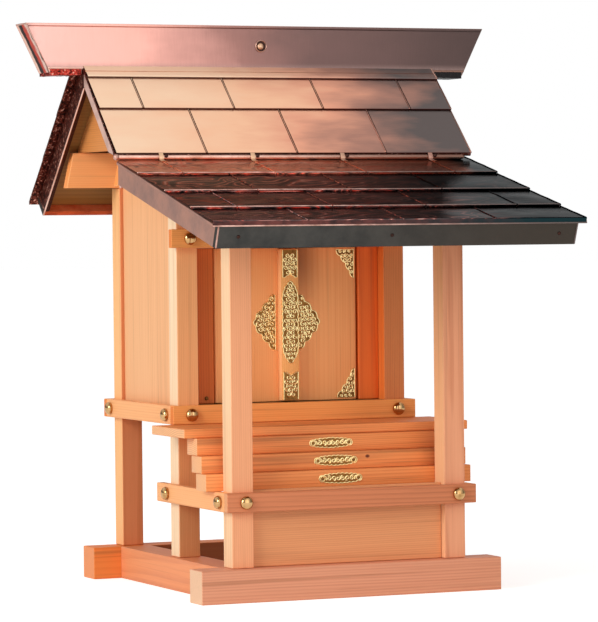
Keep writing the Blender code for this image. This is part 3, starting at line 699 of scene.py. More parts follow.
def crinkled(finish, flank=RED_FLANK):
    """Colour of foil pressed by hand: folds painted black as shade, red flanks, tips painted pale as glints.
    """
    cells = finish.cloud(finish.place * 330.0, 3.0, 0.7)
    # Painted shade in the folds and painted glints on the tips, following the bump.
    tone = finish.mix(cells.above(0.38, 0.56), (0.014, 0.008, 0.007), flank)
    tone = finish.mix(cells.above(0.585, 0.66), tone, (0.88, 0.52, 0.40))
    return tone, cells


def crinkled_copper(name, flank=RED_FLANK, painted_dark_right=False):
    """Crumpled sheet, painted near black in its right half where that is asked for, as a dark reflection."""
    finish = Finish(name, metallic=1.0, roughness=0.3, edge_glare=0.6)
    tone, cells = crinkled(finish, flank)
    if painted_dark_right:
        tone = finish.mix(finish.along[0].above(-0.01, 0.01), tone, (0.020, 0.018, 0.018))
    finish.give(Base_Color=tone, Roughness=0.22 + cells * 0.3)
    finish.give(Normal=finish.bump(cells, 0.9, 0.0012))
    return finish.material


# %% Pressed ends of the ridge box
def ridge_end_copper(name, front, rear):
    """Pressed folds down the slanted ends as stripes: pale painted highlights, red, and black painted shade.
    """
    finish = Finish(name, metallic=1.0, roughness=0.3, edge_glare=0.6)
    cells = finish.cloud(finish.place * (160.0, 160.0, 60.0), 3.0, 0.6)
    across = (finish.along[1] - front) / (rear - front) + (cells - 0.5) * 0.35
    tone = finish.ramp(
        across,
        [
            (0.04, (0.05, 0.022, 0.018)),
            (0.14, (0.90, 0.66, 0.56)),
            (0.30, (0.55, 0.06, 0.035)),
            (0.46, (0.60, 0.07, 0.04)),
            (0.56, (0.02, 0.010, 0.009)),
            (0.74, (0.03, 0.012, 0.010)),
            (0.84, (0.92, 0.62, 0.50)),
            (1.0, (0.85, 0.50, 0.40)),
        ],
    )
    on_end = abs(finish.facing((1.0, 0.0, 0.0))).above(0.5, 0.8)
    # Painted reflection: the top darkens towards the right.
    top = finish.mix(finish.along[0].above(-0.12, 0.12), (0.52, 0.27, 0.21), (0.20, 0.12, 0.10))
    finish.give(Base_Color=finish.mix(on_end, top, tone), Roughness=0.26 + cells * 0.2)
    finish.give(Normal=finish.bump(cells, 0.5, 0.0010))
    return finish.material


# %% Sheet of the barges and the rear fascia
def barge_copper(name, ridge_y):
    """Smooth and mauve on the front verge, crinkled and dark on the rear one; the split is painted
    reflection.
    """
    finish = Finish(name, metallic=1.0, roughness=0.36, edge_glare=0.6)
    patch = finish.cloud(finish.place * 40.0, 3.0)
    smooth = finish.mix(patch.above(0.35, 0.7), (0.90, 0.58, 0.48), (0.66, 0.43, 0.37))
    foil, cells = crinkled(finish)
    # Painted reflection: the rear verge's dark tone.
    rear = finish.along[1].above(ridge_y - 0.001, ridge_y + 0.001)
    colour = finish.mix(rear, smooth, foil)
    # Painted shade on faces that look down.
    colour = finish.mix(finish.facing((0.0, 0.0, -1.0)).above(0.4, 0.6), colour, (0.05, 0.018, 0.012))
    finish.give(Base_Color=colour, Metallic=0.5 + rear * 0.5)
    finish.give(Normal=finish.bump(cells * rear + patch * 0.3, 0.7, 0.0010))
    return finish.material


def rear_fascia_copper(name):
    """Dark sheet outside, red-brown inside, with a lower edge painted brighter as light from the floor."""
    finish = Finish(name, metallic=0.8, roughness=0.42, edge_glare=0.6)
    patch = finish.cloud(finish.place * 60.0, 3.0, 0.6)
    clouds = patch.above(0.3, 0.7)
    colour = finish.mix(clouds, (0.10, 0.075, 0.06), (0.05, 0.04, 0.035))
    inside = finish.mix(clouds, (1.0, 0.36, 0.18), (0.86, 0.20, 0.09))
    edge = finish.mix(clouds, (0.62, 0.10, 0.025), (0.30, 0.045, 0.012))
    # The lower edge's brighter colour is painted light, as bounced from the floor.
    for rise, tone in ((PITCH_OUT, inside), (-PITCH_OUT, edge)):
        colour = finish.mix(finish.facing((0.0, -PITCH_OUT, rise)).above(0.7, 0.9), colour, tone)
    finish.give(Base_Color=colour, Roughness=0.36 + patch * 0.2)
    finish.give(Normal=finish.bump(patch, 0.15, 0.0006))
    return finish.material


# %% [markdown]
# ## Brass and gilding
# The dome nails are turned and polished, so they show the lamp as a hard white
# spot and the grey flags as a dark rim. The door plates are pressed and gilded:
# their raised curls are bright and the sunk ground between them is dark brown
# brass, which paints the shade in the openwork's holes. Two finishes on two
# meshes keep that edge crisp.


# %% Brass finishes
def brass(name, colour, deep, roughness, scale=350.0):
    """Gilded or polished brass, darker where fingers never rub it."""
    finish = Finish(name, metallic=1.0, roughness=roughness, edge_glare=0.8)
    patch = finish.cloud(finish.place * scale, 3.0)
    tone = finish.mix(patch.above(0.42, 0.78), colour, deep)
    finish.give(Base_Color=tone, Roughness=roughness + (patch - 0.4) * 0.12)
    finish.give(Normal=finish.bump(patch, 0.15, 0.0003))
    return finish.material


POLISHED_BRASS = brass("brass_dome_nail", (0.56, 0.34, 0.15), (0.38, 0.20, 0.07), 0.09, 160.0)
GILT = brass("gilt_curls", (1.0, 0.84, 0.42), (0.98, 0.68, 0.26), 0.30)
# The dark ground paints the shade seen through the openwork's holes; the peg uses it too.
DARK_BRASS = brass("dark_brass_ground", (0.24, 0.11, 0.028), (0.12, 0.050, 0.014), 0.42)

# %% [markdown]
# ## Small tools for sheet, board and turned work
# Every new piece is built as points and faces in the shrine's own coordinates,
# so that its solid textures line up with the CAD boards. Nearly all of them are
# lofts: rings of points joined one to the next. A nail is a loft whose rings
# shrink, a bead is one whose rings follow a path. Sharp folds stay sharp and
# gentle curves are shaded smooth, by the angle between their faces.

# %% Finish a mesh and hang it on a body
FOLD = math.radians(32)


def piece(name, shape, material, body="shrine"):
    """Turn a bmesh into an object that rides on a body of the shrine."""
    bmesh.ops.recalc_face_normals(shape, faces=shape.faces)
    for face in shape.faces:
        face.smooth = True
    for edge in shape.edges:
        edge.smooth = len(edge.link_faces) == 2 and edge.calc_face_angle(0.0) < FOLD
    mesh = bpy.data.meshes.new(name)
    shape.to_mesh(mesh)
    shape.free()
    mesh.materials.append(material)
    made = bpy.data.objects.new(name, mesh)
    bpy.context.scene.collection.objects.link(made)
    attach(made, body)
    return made


def add_loft(shape, rings, ring_shaped=False):
    """A closed skin over rings of points, capped unless it closes on itself."""
    rows = [[shape.verts.new(point) for point in ring] for ring in rings]
    count = len(rings[0])
    joints = list(zip(rows, rows[1:]))
    if ring_shaped:
        joints.append((rows[-1], rows[0]))
    for low, high in joints:
        for step in range(count):
            after = (step + 1) % count
            shape.faces.new((low[step], low[after], high[after], high[step]))
    if not ring_shaped:
        shape.faces.new(rows[0][::-1])
        shape.faces.new(rows[-1])


def add_sheet(shape, rows, thickness):
    """A closed sheet: rows of points on top, and the same below them."""
    top = [[shape.verts.new(point) for point in row] for row in rows]
    low = [[shape.verts.new(Vector(point) - thickness) for point in row] for row in rows]
    tall = len(rows) - 1
    wide = len(rows[0]) - 1
    for j in range(tall):
        for i in range(wide):
            shape.faces.new((top[j][i], top[j][i + 1], top[j + 1][i + 1], top[j + 1][i]))
            shape.faces.new((low[j][i], low[j + 1][i], low[j + 1][i + 1], low[j][i + 1]))
    around = [(0, i) for i in range(wide)] + [(j, wide) for j in range(tall)]
    around += [(tall, i) for i in range(wide, 0, -1)] + [(j, 0) for j in range(tall, 0, -1)]
    for (j, i), (k, m) in zip(around, around[1:] + around[:1]):
        shape.faces.new((top[j][i], low[j][i], low[k][m], top[k][m]))


def add_board(shape, low, high, bevel=0.0006, segments=2):
    """A board with eased arrises between two corners."""
    low = Vector(low)
    size = Vector(high) - low
    place = Matrix.Translation(low + size / 2) @ Matrix.Diagonal(size).to_4x4()
    made = bmesh.ops.create_cube(shape, size=1.0, matrix=place)
    edges = list({edge for vert in made["verts"] for edge in vert.link_edges})
    bmesh.ops.bevel(shape, geom=edges, offset=bevel, segments=segments, affect="EDGES", profile=0.5)


# %% Turned forms and beads
def circle(radius, sides):
    """Points of a circle about the origin."""
    turns = [2 * math.pi * side / sides for side in range(sides)]
    return [(radius * math.cos(turn), radius * math.sin(turn)) for turn in turns]


def add_turned(shape, profile, place, direction, sides=24):
    """A turned form: radii and heights spun about a direction."""
    turn = Vector((0, 0, 1)).rotation_difference(Vector(direction)).to_matrix()
    rings = []
    for radius, height in profile:
        rings.append([Vector(place) + turn @ Vector((a, b, height)) for a, b in circle(radius, sides)])
    add_loft(shape, rings)


def add_bead(shape, points, radius, sides=8):
    """A round bead along a row of points, with rounded ends."""
    points = [Vector(point) for point in points]
    start = (points[0] - points[1]).normalized() * radius
    end = (points[-1] - points[-2]).normalized() * radius
    stations = [(points[0] + start * 0.9, 0.35), (points[0] + start * 0.5, 0.8)]
    stations += [(point, 1.0) for point in points]
    stations += [(points[-1] + end * 0.5, 0.8), (points[-1] + end * 0.9, 0.35)]
    rings = []
    for index, (point, share) in enumerate(stations):
        ahead = stations[min(index + 1, len(stations) - 1)][0] - stations[max(index - 1, 0)][0]
        side = ahead.cross(Vector((0, 0, 1)))
        side = side.normalized() if side.length > 1e-7 else Vector((1, 0, 0))
        over = side.cross(ahead).normalized()
        rings.append([point + side * a + over * b for a, b in circle(radius * share, sides)])
    add_loft(shape, rings)


# %% Pieces made of beads or of turned forms
FRONTWARD = (0, -1, 0)


def beads(name, paths, radius, material, sides=8):
    """One piece made of a bead along each path."""
    shape = bmesh.new()
    for path in paths:
        add_bead(shape, path, radius, sides)
    piece(name, shape, material)


def turned(name, profile, places, direction, material, sides=24):
    """One piece made of the same turned form at each place."""
    shape = bmesh.new()
    for place in places:
        add_turned(shape, profile, place, direction, sides)
    piece(name, shape, material)


# %% [markdown]
# ## The roof, plate by plate
# A copper roof of this kind is laid in courses of small plates. Each plate is
# folded over its neighbour at the side and hangs a little over the course
# below, so every joint is a raised fold with a thin shadow. A flat slab with
# painted lines would catch no light there, so each plate is its own thin sheet
# with a folded foot, a folded right edge and a slight pillow.

# %% Slopes measured on the CAD model
SKIN = 0.0025
GAP = 0.0003
SLOPE = 1.0
PORCH_SLOPE = math.tan(math.radians(14.0))
main_low, main_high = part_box("main_roof_copper")
porch_low, porch_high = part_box("porch_roof_copper")
gable_low, gable_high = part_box("gable_board_left")
ridge_low, ridge_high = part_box("ridge_box")
ROOF_HALF = main_high.x
RIDGE_Y = (gable_low.y + gable_high.y) / 2
REAR_EAVE = main_high.y
FOOT_Y = porch_high.y - 0.0144
RIDGE_Z = main_low.z + SKIN * math.sqrt(2) + REAR_EAVE - RIDGE_Y
PORCH_EAVE = porch_low.y
PORCH_EAVE_Z = porch_low.z + SKIN * math.hypot(1, PORCH_SLOPE)
print("ridge", round(RIDGE_Y, 4), round(RIDGE_Z, 4), "foot", round(FOOT_Y, 4), "eave", round(PORCH_EAVE_Z, 4))


def front_slope(y):
    """Height of the front slope's copper."""
    return RIDGE_Z - (RIDGE_Y - y) * SLOPE


def rear_slope(y):
    """Height of the rear slope's copper."""
    return RIDGE_Z - (y - RIDGE_Y) * SLOPE


def porch_slope(y):
    """Height of the porch roof's copper."""
    return PORCH_EAVE_Z + (y - PORCH_EAVE) * PORCH_SLOPE


# %% Coppers of the roof
MAIN_COURSES = (0.0465, 0.035)
REAR_COURSE = 0.047
REAR_COUNT = 3
PORCH_FEET = (0.0, 0.0573, 0.1283, 0.2050)
PORCH_BACK = porch_high.y - 0.0180
SLOPE_FOOT = FOOT_Y - 0.0030
FACE_FOOT = ridge_low.z + 0.0048
LOWER_ROW = front_slope(FOOT_Y + MAIN_COURSES[0])
SLOPE_COPPER = slope_copper("copper_bright_slope", LOWER_ROW)
# The cap strip is painted paler and less metallic: painted light under the ridge box's overhang.
CAP_COPPER = slope_copper("copper_cap_strip", LOWER_ROW, 0.35, 0.6)
RIDGE_COPPER = ridge_face_copper("copper_ridge_face", FACE_FOOT)
RIDGE_FOIL = ridge_end_copper("copper_ridge_ends", ridge_low.y, ridge_high.y)
PORCH_COPPER = porch_copper("copper_porch_roof", PORCH_EAVE + PORCH_FEET[-1])
FOIL_COPPER = crinkled_copper("copper_crinkled")
SKIRT_COPPER = crinkled_copper("copper_red_foil", (0.50, 0.045, 0.03), painted_dark_right=True)
BARGE_COPPER = barge_copper("copper_barge", RIDGE_Y)
FASCIA_COPPER = rear_fascia_copper("copper_rear_fascia")
PORCH_BARGE_COPPER = dull_copper("copper_porch_barge", (0.62, 0.33, 0.25), (0.42, 0.25, 0.21))
DARK_COPPER = dull_copper("copper_black_hollow", (0.030, 0.016, 0.013), (0.060, 0.022, 0.016))
# The third colour of each, towards the right end, is painted reflection.
THREE_TONES = {
    "eave_dark": ((0.066, 0.062, 0.056), (0.036, 0.036, 0.034), (0.050, 0.040, 0.032)),
    "porch_drip": ((0.13, 0.040, 0.034), (0.022, 0.014, 0.014), (0.006, 0.024, 0.028), 70.0),
    "hem": ((0.86, 0.56, 0.46), (0.55, 0.27, 0.19), (0.30, 0.16, 0.12)),
    "porch_hem": ((0.80, 0.50, 0.42), (0.34, 0.17, 0.13), (0.16, 0.12, 0.11), 55.0),
    "orange_fold": ((0.72, 0.30, 0.16), (0.45, 0.14, 0.07), (0.16, 0.07, 0.05)),
    "straps": ((0.86, 0.58, 0.36), (0.62, 0.36, 0.22), (0.42, 0.22, 0.17)),
}
shades = [dull_copper(f"copper_{name}", *tones) for name, tones in THREE_TONES.items()]
EAVE_COPPER, DRIP_COPPER, HEM_COPPER, PORCH_HEM, FOLD_COPPER, STRAP_COPPER = shades

DRESSED_IN = {
    "porch_eave_board": EAVE_COPPER,
    "rear_eave_board": FASCIA_COPPER,
    "porch_barge_left": PORCH_BARGE_COPPER,
    "porch_barge_right": PORCH_BARGE_COPPER,
    "main_barge_left": BARGE_COPPER,
    "main_barge_right": BARGE_COPPER,
    "ridge_box": RIDGE_FOIL,
    "main_roof_copper": FOIL_COPPER,
}
for name, material in DRESSED_IN.items():
    finish_node(name, material)
print("metal CAD pieces finished:", len(DRESSED_IN))

# %% One plate
PLATE = 0.0005
PLATE_LIFT = 0.0002
LAP = 0.0022
FOLD_HEIGHT = 0.0008
FOLD_WIDTH = 0.0013
FOOT_STEPS = ((0.0005, -0.0021), (0.0001, -0.0004), (0.0008, 0.0), (0.0024, 0.0))
FIRST_COLUMNS = (0.0012, 0.003)
ALONG = 8
ACROSS = 12
RIPPLES = (34.0, 55.0)
SHIFTS = (7.3, 3.1)
PILLOW_SHARE = 0.6
RIPPLE_SHARE = 0.9


def plate_columns(width):
    """Places across a plate and how high its right fold stands there."""
    fold = width - FOLD_WIDTH
    columns = [(across, 0.0) for across in FIRST_COLUMNS]
    columns += [(width * step / ACROSS, 0.0) for step in range(1, ACROSS)]
    return columns + [(fold, 0.0), (fold + 0.0004, 1.0), (width - 0.0004, 1.0), (width + 0.0003, 0.3)]


def plate_rows(height, foot, head, left, right, wave, seed):
    """Points of one plate, from its folded foot up to its head."""
    run = Vector((0.0, 1.0, (height(head) - height(foot)) / (head - foot))).normalized()
    if head < foot:
        run = -run
    out = Vector((1.0, 0.0, 0.0)).cross(run)
    out = out if out.z > 0 else -out
    length = math.hypot(head - foot, height(head) - height(foot))
    base = Vector((0.0, foot, height(foot)))
    start = FOOT_STEPS[-1][0]
    steps = list(FOOT_STEPS) + [(start + (length - start) * t / ALONG, 0.0) for t in range(1, ALONG + 1)]
    width = right - left
    rows = []
    for step, drop in steps:
        share = max(0.0, min(1.0, step / length))
        arch = math.sin(math.pi * share)
        row = []
        for across, fold in plate_columns(width):
            pillow = math.sin(math.pi * min(1.0, across / width)) * arch
            u = across * RIPPLES[0] + seed * SHIFTS[0]
            v = step * RIPPLES[1] + seed * SHIFTS[1]
            ripple = noise.noise(Vector((u, v, seed)))
            rise = PLATE + PLATE_LIFT + LAP * (1 - share) + drop + fold * FOLD_HEIGHT
            rise += wave * (PILLOW_SHARE * pillow + RIPPLE_SHARE * ripple * arch)
            row.append(base + run * step + out * rise + Vector((left + across, 0.0, 0.0)))
        rows.append(row)
    return rows, out * PLATE


# %% One course of plates
CORNER_CUT = 1.1


def trim_corner(shape):
    """Cut the porch sheet back at its left rear corner, where the barge ends."""
    for vert in shape.verts:
        behind = vert.co.y - PORCH_BACK
        if behind > 0:
            vert.co.x = max(vert.co.x, -ROOF_HALF + 0.001 + behind * CORNER_CUT)


def course(name, height, foot, head, seams, material, wave):
    """A course of plates between the verges, with seams at the given X places."""
    shape = bmesh.new()
    edges = [-ROOF_HALF, *seams, ROOF_HALF - 0.0006]
    for index, (left, right) in enumerate(zip(edges, edges[1:])):
        seed = index * 1.9 + foot * 37.0
        rows, thickness = plate_rows(height, foot, head, left, right, wave, seed)
        add_sheet(shape, rows, thickness)
    if height == porch_slope:
        trim_corner(shape)
    piece(name, shape, material)


# %% Lay the main slopes
SEAM_STEP = 0.1055
ODD_SEAMS = [share * SEAM_STEP for share in (-1.5, -0.5, 0.5, 1.5)]
SEAMS = ([-SEAM_STEP, 0.0, SEAM_STEP], ODD_SEAMS)
MAIN_WAVE = 0.0004
CAP_WAVE = 0.0002
PORCH_WAVE = 0.0006

foot = SLOPE_FOOT
head = FOOT_Y
for index, depth in enumerate(MAIN_COURSES):
    head += depth
    name = f"slope_course_front_{index + 1}"
    course(name, front_slope, foot, head, SEAMS[index % 2], SLOPE_COPPER, MAIN_WAVE)
    foot = head
course("slope_cap_front", front_slope, foot, ridge_low.y - 0.0002, [], CAP_COPPER, CAP_WAVE)

foot = REAR_EAVE
for index in range(REAR_COUNT):
    head = foot - REAR_COURSE
    name = f"slope_course_rear_{index + 1}"
    course(name, rear_slope, foot, head, SEAMS[index % 2], SLOPE_COPPER, MAIN_WAVE)
    foot = head
course("slope_cap_rear", rear_slope, foot, ridge_high.y + 0.0002, [], SLOPE_COPPER, CAP_WAVE)

# %% Lay the porch roof
HEM_RADIUS = 0.0008
UNDERLAY_ROWS = 40
UNDERLAY_COLUMNS = 16

PORCH_LINES = [PORCH_EAVE + start for start in PORCH_FEET] + [porch_high.y - 0.0003]
for index, (foot, head) in enumerate(zip(PORCH_LINES, PORCH_LINES[1:])):
    name = f"porch_course_{index + 1}"
    course(name, porch_slope, foot, head, SEAMS[index % 2], PORCH_COPPER, PORCH_WAVE)
    if index:
        hem_z = porch_slope(foot) + PLATE + PLATE_LIFT + LAP
        ends = [(side * (ROOF_HALF - HEM_RADIUS), foot + 0.0006, hem_z) for side in (-1, 1)]
        beads(f"porch_hem_{index + 1}", [ends], HEM_RADIUS, PORCH_HEM)


def porch_underlay():
    """The sheet below the plates, in the place of the CAD one."""
    shape = bmesh.new()
    depth = porch_high.y - PORCH_EAVE - 0.0004
    half = UNDERLAY_COLUMNS / 2
    rows = []
    for step in range(UNDERLAY_ROWS + 1):
        y = PORCH_EAVE + 0.0002 + depth * step / UNDERLAY_ROWS
        places = [ROOF_HALF * (column / half - 1) for column in range(UNDERLAY_COLUMNS + 1)]
        rows.append([Vector((x, y, porch_slope(y))) for x in places])
    add_sheet(shape, rows, Vector((0.0, 0.0, SKIN * math.hypot(1, PORCH_SLOPE))))
    trim_corner(shape)
    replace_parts(piece("porch_underlay", shape, PORCH_BARGE_COPPER), "porch_roof_copper")


porch_underlay()

# %% [markdown]
# ## Rolled foot, cap fold and straps
# Where the steep slope ends above the porch roof its foot is rolled into a bead
# that hangs a little low. A narrow upstand, painted black as the shadow under the
# bead, closes the gap behind it, and four small straps tie the bead down to the
# porch roof, each with a pin beside it.
# Under the ridge a long fold stiffens the top strip.


# %% The bead, its upstand, straps and pins
ROLL = 0.0025
ROLL_Y = SLOPE_FOOT - 0.0004
ROLL_Z = front_slope(SLOPE_FOOT) - ROLL - 0.0001
ROLL_LEFT = -ROOF_HALF + ROLL
ROLL_RIGHT = ROOF_HALF - 0.0115
ROLL_END = 0.0034
STRAP_HALF = (-0.0025, -0.0018, 0.0018, 0.0025)
STRAP_LIFT = 0.0003
PIN = [(0.0021, 0.0), (0.0021, 0.0007), (0.0015, 0.0014), (0.0004, 0.0017)]
PIN_ASIDE = 0.0056


def slope_straps():
    """Straps that start on the slope, pass over the bead and lie on the porch roof."""
    path = [
        (SLOPE_FOOT + 0.0014, front_slope(SLOPE_FOOT + 0.0014) + 0.0026),
        (SLOPE_FOOT - 0.0026, front_slope(SLOPE_FOOT) + 0.0008),
        (SLOPE_FOOT - 0.0040, front_slope(SLOPE_FOOT) - 0.0026),
    ]
    for reach, lift in ((0.0042, 0.0034), (0.0056, 0.0026), (0.0110, 0.0026)):
        path.append((SLOPE_FOOT - reach, porch_slope(SLOPE_FOOT - reach) + lift))
    shape = bmesh.new()
    for x in ODD_SEAMS:
        rows = []
        for y, z in path:
            lifts = (0.0, STRAP_LIFT, STRAP_LIFT, 0.0)
            rows.append([Vector((x + aside, y, z + lift)) for aside, lift in zip(STRAP_HALF, lifts)])
        add_sheet(shape, rows, Vector((0.0, -0.0003, 0.0006)))
    piece("slope_foot_straps", shape, STRAP_COPPER)


def slope_upstand():
    """The narrow strip that closes the gap behind the bead, painted black as its shadow."""
    shape = bmesh.new()
    back = SLOPE_FOOT + 0.0025
    low = (ROLL_LEFT, back, porch_slope(back) + 0.001)
    add_board(shape, low, (ROLL_RIGHT, back + 0.0005, ROLL_Z), 0.0001, 1)
    piece("slope_foot_upstand", shape, DARK_COPPER)


roll = [(x, ROLL_Y, ROLL_Z) for x in (ROLL_LEFT, 0.0, ROLL_RIGHT)]
beads("slope_foot_bead", [roll], ROLL, HEM_COPPER, sides=16)
slope_upstand()
slope_straps()
pins = [(x + PIN_ASIDE, ROLL_Y - ROLL + 0.0002, ROLL_Z + 0.0012) for x in ODD_SEAMS]
turned("slope_foot_pins", PIN, pins, FRONTWARD, DARK_COPPER, 16)
turns = [math.pi * (step / 8 - 0.5) * 0.98 for step in range(9)]
ball = [(ROLL_END * math.cos(turn), ROLL_END * math.sin(turn)) for turn in turns]
ball_place = (-ROOF_HALF + 0.0012, ROLL_Y, ROLL_Z)
turned("slope_foot_end", ball, [ball_place], (-1, 0, 0), PORCH_BARGE_COPPER, 16)

folds = []
for y, height in ((ridge_low.y - 0.008, front_slope), (ridge_high.y + 0.008, rear_slope)):
    folds.append([(x, y, height(y) + 0.0020) for x in (-ROOF_HALF + 0.001, 0.0, ROOF_HALF - 0.001)])
beads("slope_cap_folds", folds, 0.0007, FOLD_COPPER)
print("under the bead:", round(ROLL_Z - ROLL - porch_slope(ROLL_Y) - PLATE - PLATE_LIFT, 4))

# %% [markdown]
# ## The ridge box
# The box on the ridge is wrapped in one long sheet whose ends are pressed by
# hand over the slanted boards. So its two faces get a smooth sheet each, with a
# lip rolled along the foot and a groove under the top edge, while the CAD box
# shows at the ends, with pressed folds in its finish: their pale stripes are
# painted highlights and their black ones painted shade. The faces run from pink
# at the left end to brown, a painted reflection. Narrow hems edge the ends. One
# round nail is set in the middle of the front face, and two small ones hold the
# lip beside it.


# %% Faces, lips and hems of the ridge box
BOX_SLANT = 0.026
BOX_TALL = ridge_high.z - ridge_low.z
FACE_LIFT = 0.0004
FACE_SHEET = 0.0004
FACE_LEVELS = (0.0, 0.0008, 0.25, 0.5, 0.75, 0.93, 0.945, 0.96, 1.0)
GROOVE_LEVEL = 0.945
RIPPLE = 0.0005
LONG_STEPS = 60


def across_steps(half, steps=LONG_STEPS):
    """Evenly spaced X places from one side to the other."""
    return [half * (2 * step / steps - 1) for step in range(steps + 1)]


def box_half(z):
    """Half the length of the ridge box at a height."""
    return ridge_high.x - BOX_SLANT * (ridge_high.z - z) / BOX_TALL


def ridge_face(side, y, out):
    """One rippled face with a groove near its top, and the lip along its foot."""
    rows = []
    for level in FACE_LEVELS:
        z = FACE_FOOT + (ridge_high.z - 0.0006 - FACE_FOOT) * level
        groove = RIPPLE if level == GROOVE_LEVEL else 0.0
        row = []
        for x in across_steps(box_half(z) - 0.0006):
            ripple = RIPPLE * noise.noise(Vector((x * 16, z * 60, out)))
            row.append(Vector((x, y + out * (FACE_LIFT + 0.0005 + ripple - groove), z)))
        rows.append(row)
    shape = bmesh.new()
    add_sheet(shape, rows, Vector((0.0, out * FACE_SHEET, 0.0)))
    piece(f"ridge_face_{side}", shape, RIDGE_COPPER)
    half = box_half(FACE_FOOT) - 0.0012
    lip = [(x, y + out * (FACE_LIFT + 0.0006), FACE_FOOT) for x in (-half, 0.0, half)]
    beads(f"ridge_lip_{side}", [lip], 0.0010, HEM_COPPER)


def ridge_end_hems():
    """A narrow hem round each slanted end."""
    inset = 0.0008
    edges = []
    for side in (-1, 1):
        foot_x = side * (box_half(ridge_low.z) - inset)
        top_x = side * (ridge_high.x - inset)
        near, far = ridge_low.y + inset, ridge_high.y - inset
        low, high = ridge_low.z + inset, ridge_high.z - inset
        corners = [(foot_x, near, low), (top_x, near, high), (top_x, far, high), (foot_x, far, low)]
        edges += zip(corners, corners[1:] + corners[:1])
    beads("ridge_end_hems", edges, 0.0009, PORCH_HEM)


ridge_face("front", ridge_low.y, -1)
ridge_face("rear", ridge_high.y, 1)
ridge_end_hems()
print("ridge box: half its foot is", round(box_half(ridge_low.z), 4))

# %% Nails of the ridge box
NAIL_RIM = [(0.0068, 0.0), (0.0068, 0.0006), (0.0062, 0.0011), (0.0056, 0.0006)]
NAIL_DISH = [(0.0056, 0.0006), (0.0055, 0.0009), (0.0040, 0.0008)]
LIP_NAIL = [(0.0017, 0.0), (0.0017, 0.0006), (0.0011, 0.0012), (0.0003, 0.0014)]
LIP_NAIL_PLACES = (-0.0135, -0.0065)
KNOB_ANGLES = [math.pi / 2 * step / 6.5 for step in range(7)]
KNOB = [(0.0030, 0.0006)]
KNOB += [(0.0036 * math.cos(angle), 0.0012 + 0.0022 * math.sin(angle)) for angle in KNOB_ANGLES]

nail_y = ridge_low.y - FACE_LIFT - 0.0008
nail_z = ridge_high.z - 0.0225
nail_place = (0.0, nail_y, nail_z)
turned("ridge_nail_rim", NAIL_RIM, [nail_place], FRONTWARD, HEM_COPPER)
turned("ridge_nail_dish", NAIL_DISH, [nail_place], FRONTWARD, DARK_COPPER)
turned("ridge_nail_knob", KNOB, [(-0.0010, nail_y, nail_z - 0.0003)], FRONTWARD, STRAP_COPPER, 20)
lip_nails = [(x, nail_y, FACE_FOOT - 0.0006) for x in LIP_NAIL_PLACES]
turned("ridge_lip_nails", LIP_NAIL, lip_nails, FRONTWARD, FOLD_COPPER, 12)
print("ridge nail at", round(nail_z, 4))

# %% [markdown]
# ## Edges of the roofs
# The porch fascia leans in under the eave. Its sheet is folded round both
# corners, which shows as a bright upright line, and three small nails hold it.
# The first porch course turns down over it as a drip with a hem. On the rear
# verges a thin bead runs down the lower arris of the barge, and where the ridge
# box reaches past the gables its sheet is crumpled under its foot.


# %% Fascia corners, fascia nails and the folds behind the porch barges
FASCIA_LEAN = math.radians(21.0)
FASCIA_NAIL = [(0.0019, 0.0), (0.0019, 0.0005), (0.0013, 0.0011), (0.0004, 0.0013)]
FASCIA_NAIL_PLACES = (-0.1779, -0.0091, 0.1813)
BARGE_FOLD_DEPTH = 0.0275
SIDES = {"left": -1, "right": 1}


def fascia_trim():
    """Folds at the fascia's corners, and its nails."""
    low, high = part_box("porch_eave_board")
    top = porch_slope(low.y) - (SKIN + GAP * 0.97) * math.hypot(1, PORCH_SLOPE)

    def face_y(z):
        """Front of the leaning fascia at a height."""
        return low.y + (top - z) * math.tan(FASCIA_LEAN)

    foot = low.z + 0.001
    folds = []
    for x in (low.x + 0.0006, high.x - 0.0006):
        folds.append([(x, face_y(top), top - 0.0006), (x, face_y(foot), foot)])
    beads("fascia_corner_folds", folds, 0.0009, PORCH_HEM)
    middle = (low.z + top) / 2
    out = (0.0, -math.cos(FASCIA_LEAN), -math.sin(FASCIA_LEAN))
    places = [(x, face_y(middle), middle) for x in FASCIA_NAIL_PLACES]
    turned("fascia_nails", FASCIA_NAIL, places, out, DARK_COPPER, 12)


def porch_barge_folds():
    """An upright fold at the back end of each porch barge."""
    folds = []
    for side in SIDES:
        low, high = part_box(f"porch_barge_{side}")
        middle = (low.x + high.x) / 2
        heights = (high.z - 0.0020, high.z - BARGE_FOLD_DEPTH)
        folds.append([(middle, high.y + 0.0006, z) for z in heights])
    beads("porch_barge_end_folds", folds, 0.0014, PORCH_HEM)


# %% Drip, barge beads and skirts
SKIRT_DEPTH = 0.0034
SKIRT_STEPS = 16


def eave_drip():
    """The first course turned down over the eave, with a hem along its lower edge."""
    top = PORCH_EAVE_Z + PLATE_LIFT + LAP
    foot = porch_low.z + 0.0002
    rows = []
    for z in (foot, (foot + top) / 2, top):
        row = []
        for x in across_steps(ROOF_HALF - 0.0008):
            ripple = 0.0001 * noise.noise(Vector((x * 60, z * 90, 4.0)))
            row.append(Vector((x, PORCH_EAVE - 0.0006 + ripple, z)))
        rows.append(row)
    shape = bmesh.new()
    add_sheet(shape, rows, Vector((0.0, -0.0004, 0.0)))
    piece("porch_eave_drip", shape, DRIP_COPPER)
    hem = [(side * (ROOF_HALF - 0.001), PORCH_EAVE - 0.0007, foot) for side in (-1, 1)]
    beads("porch_eave_drip_hem", [hem], HEM_RADIUS, PORCH_HEM)


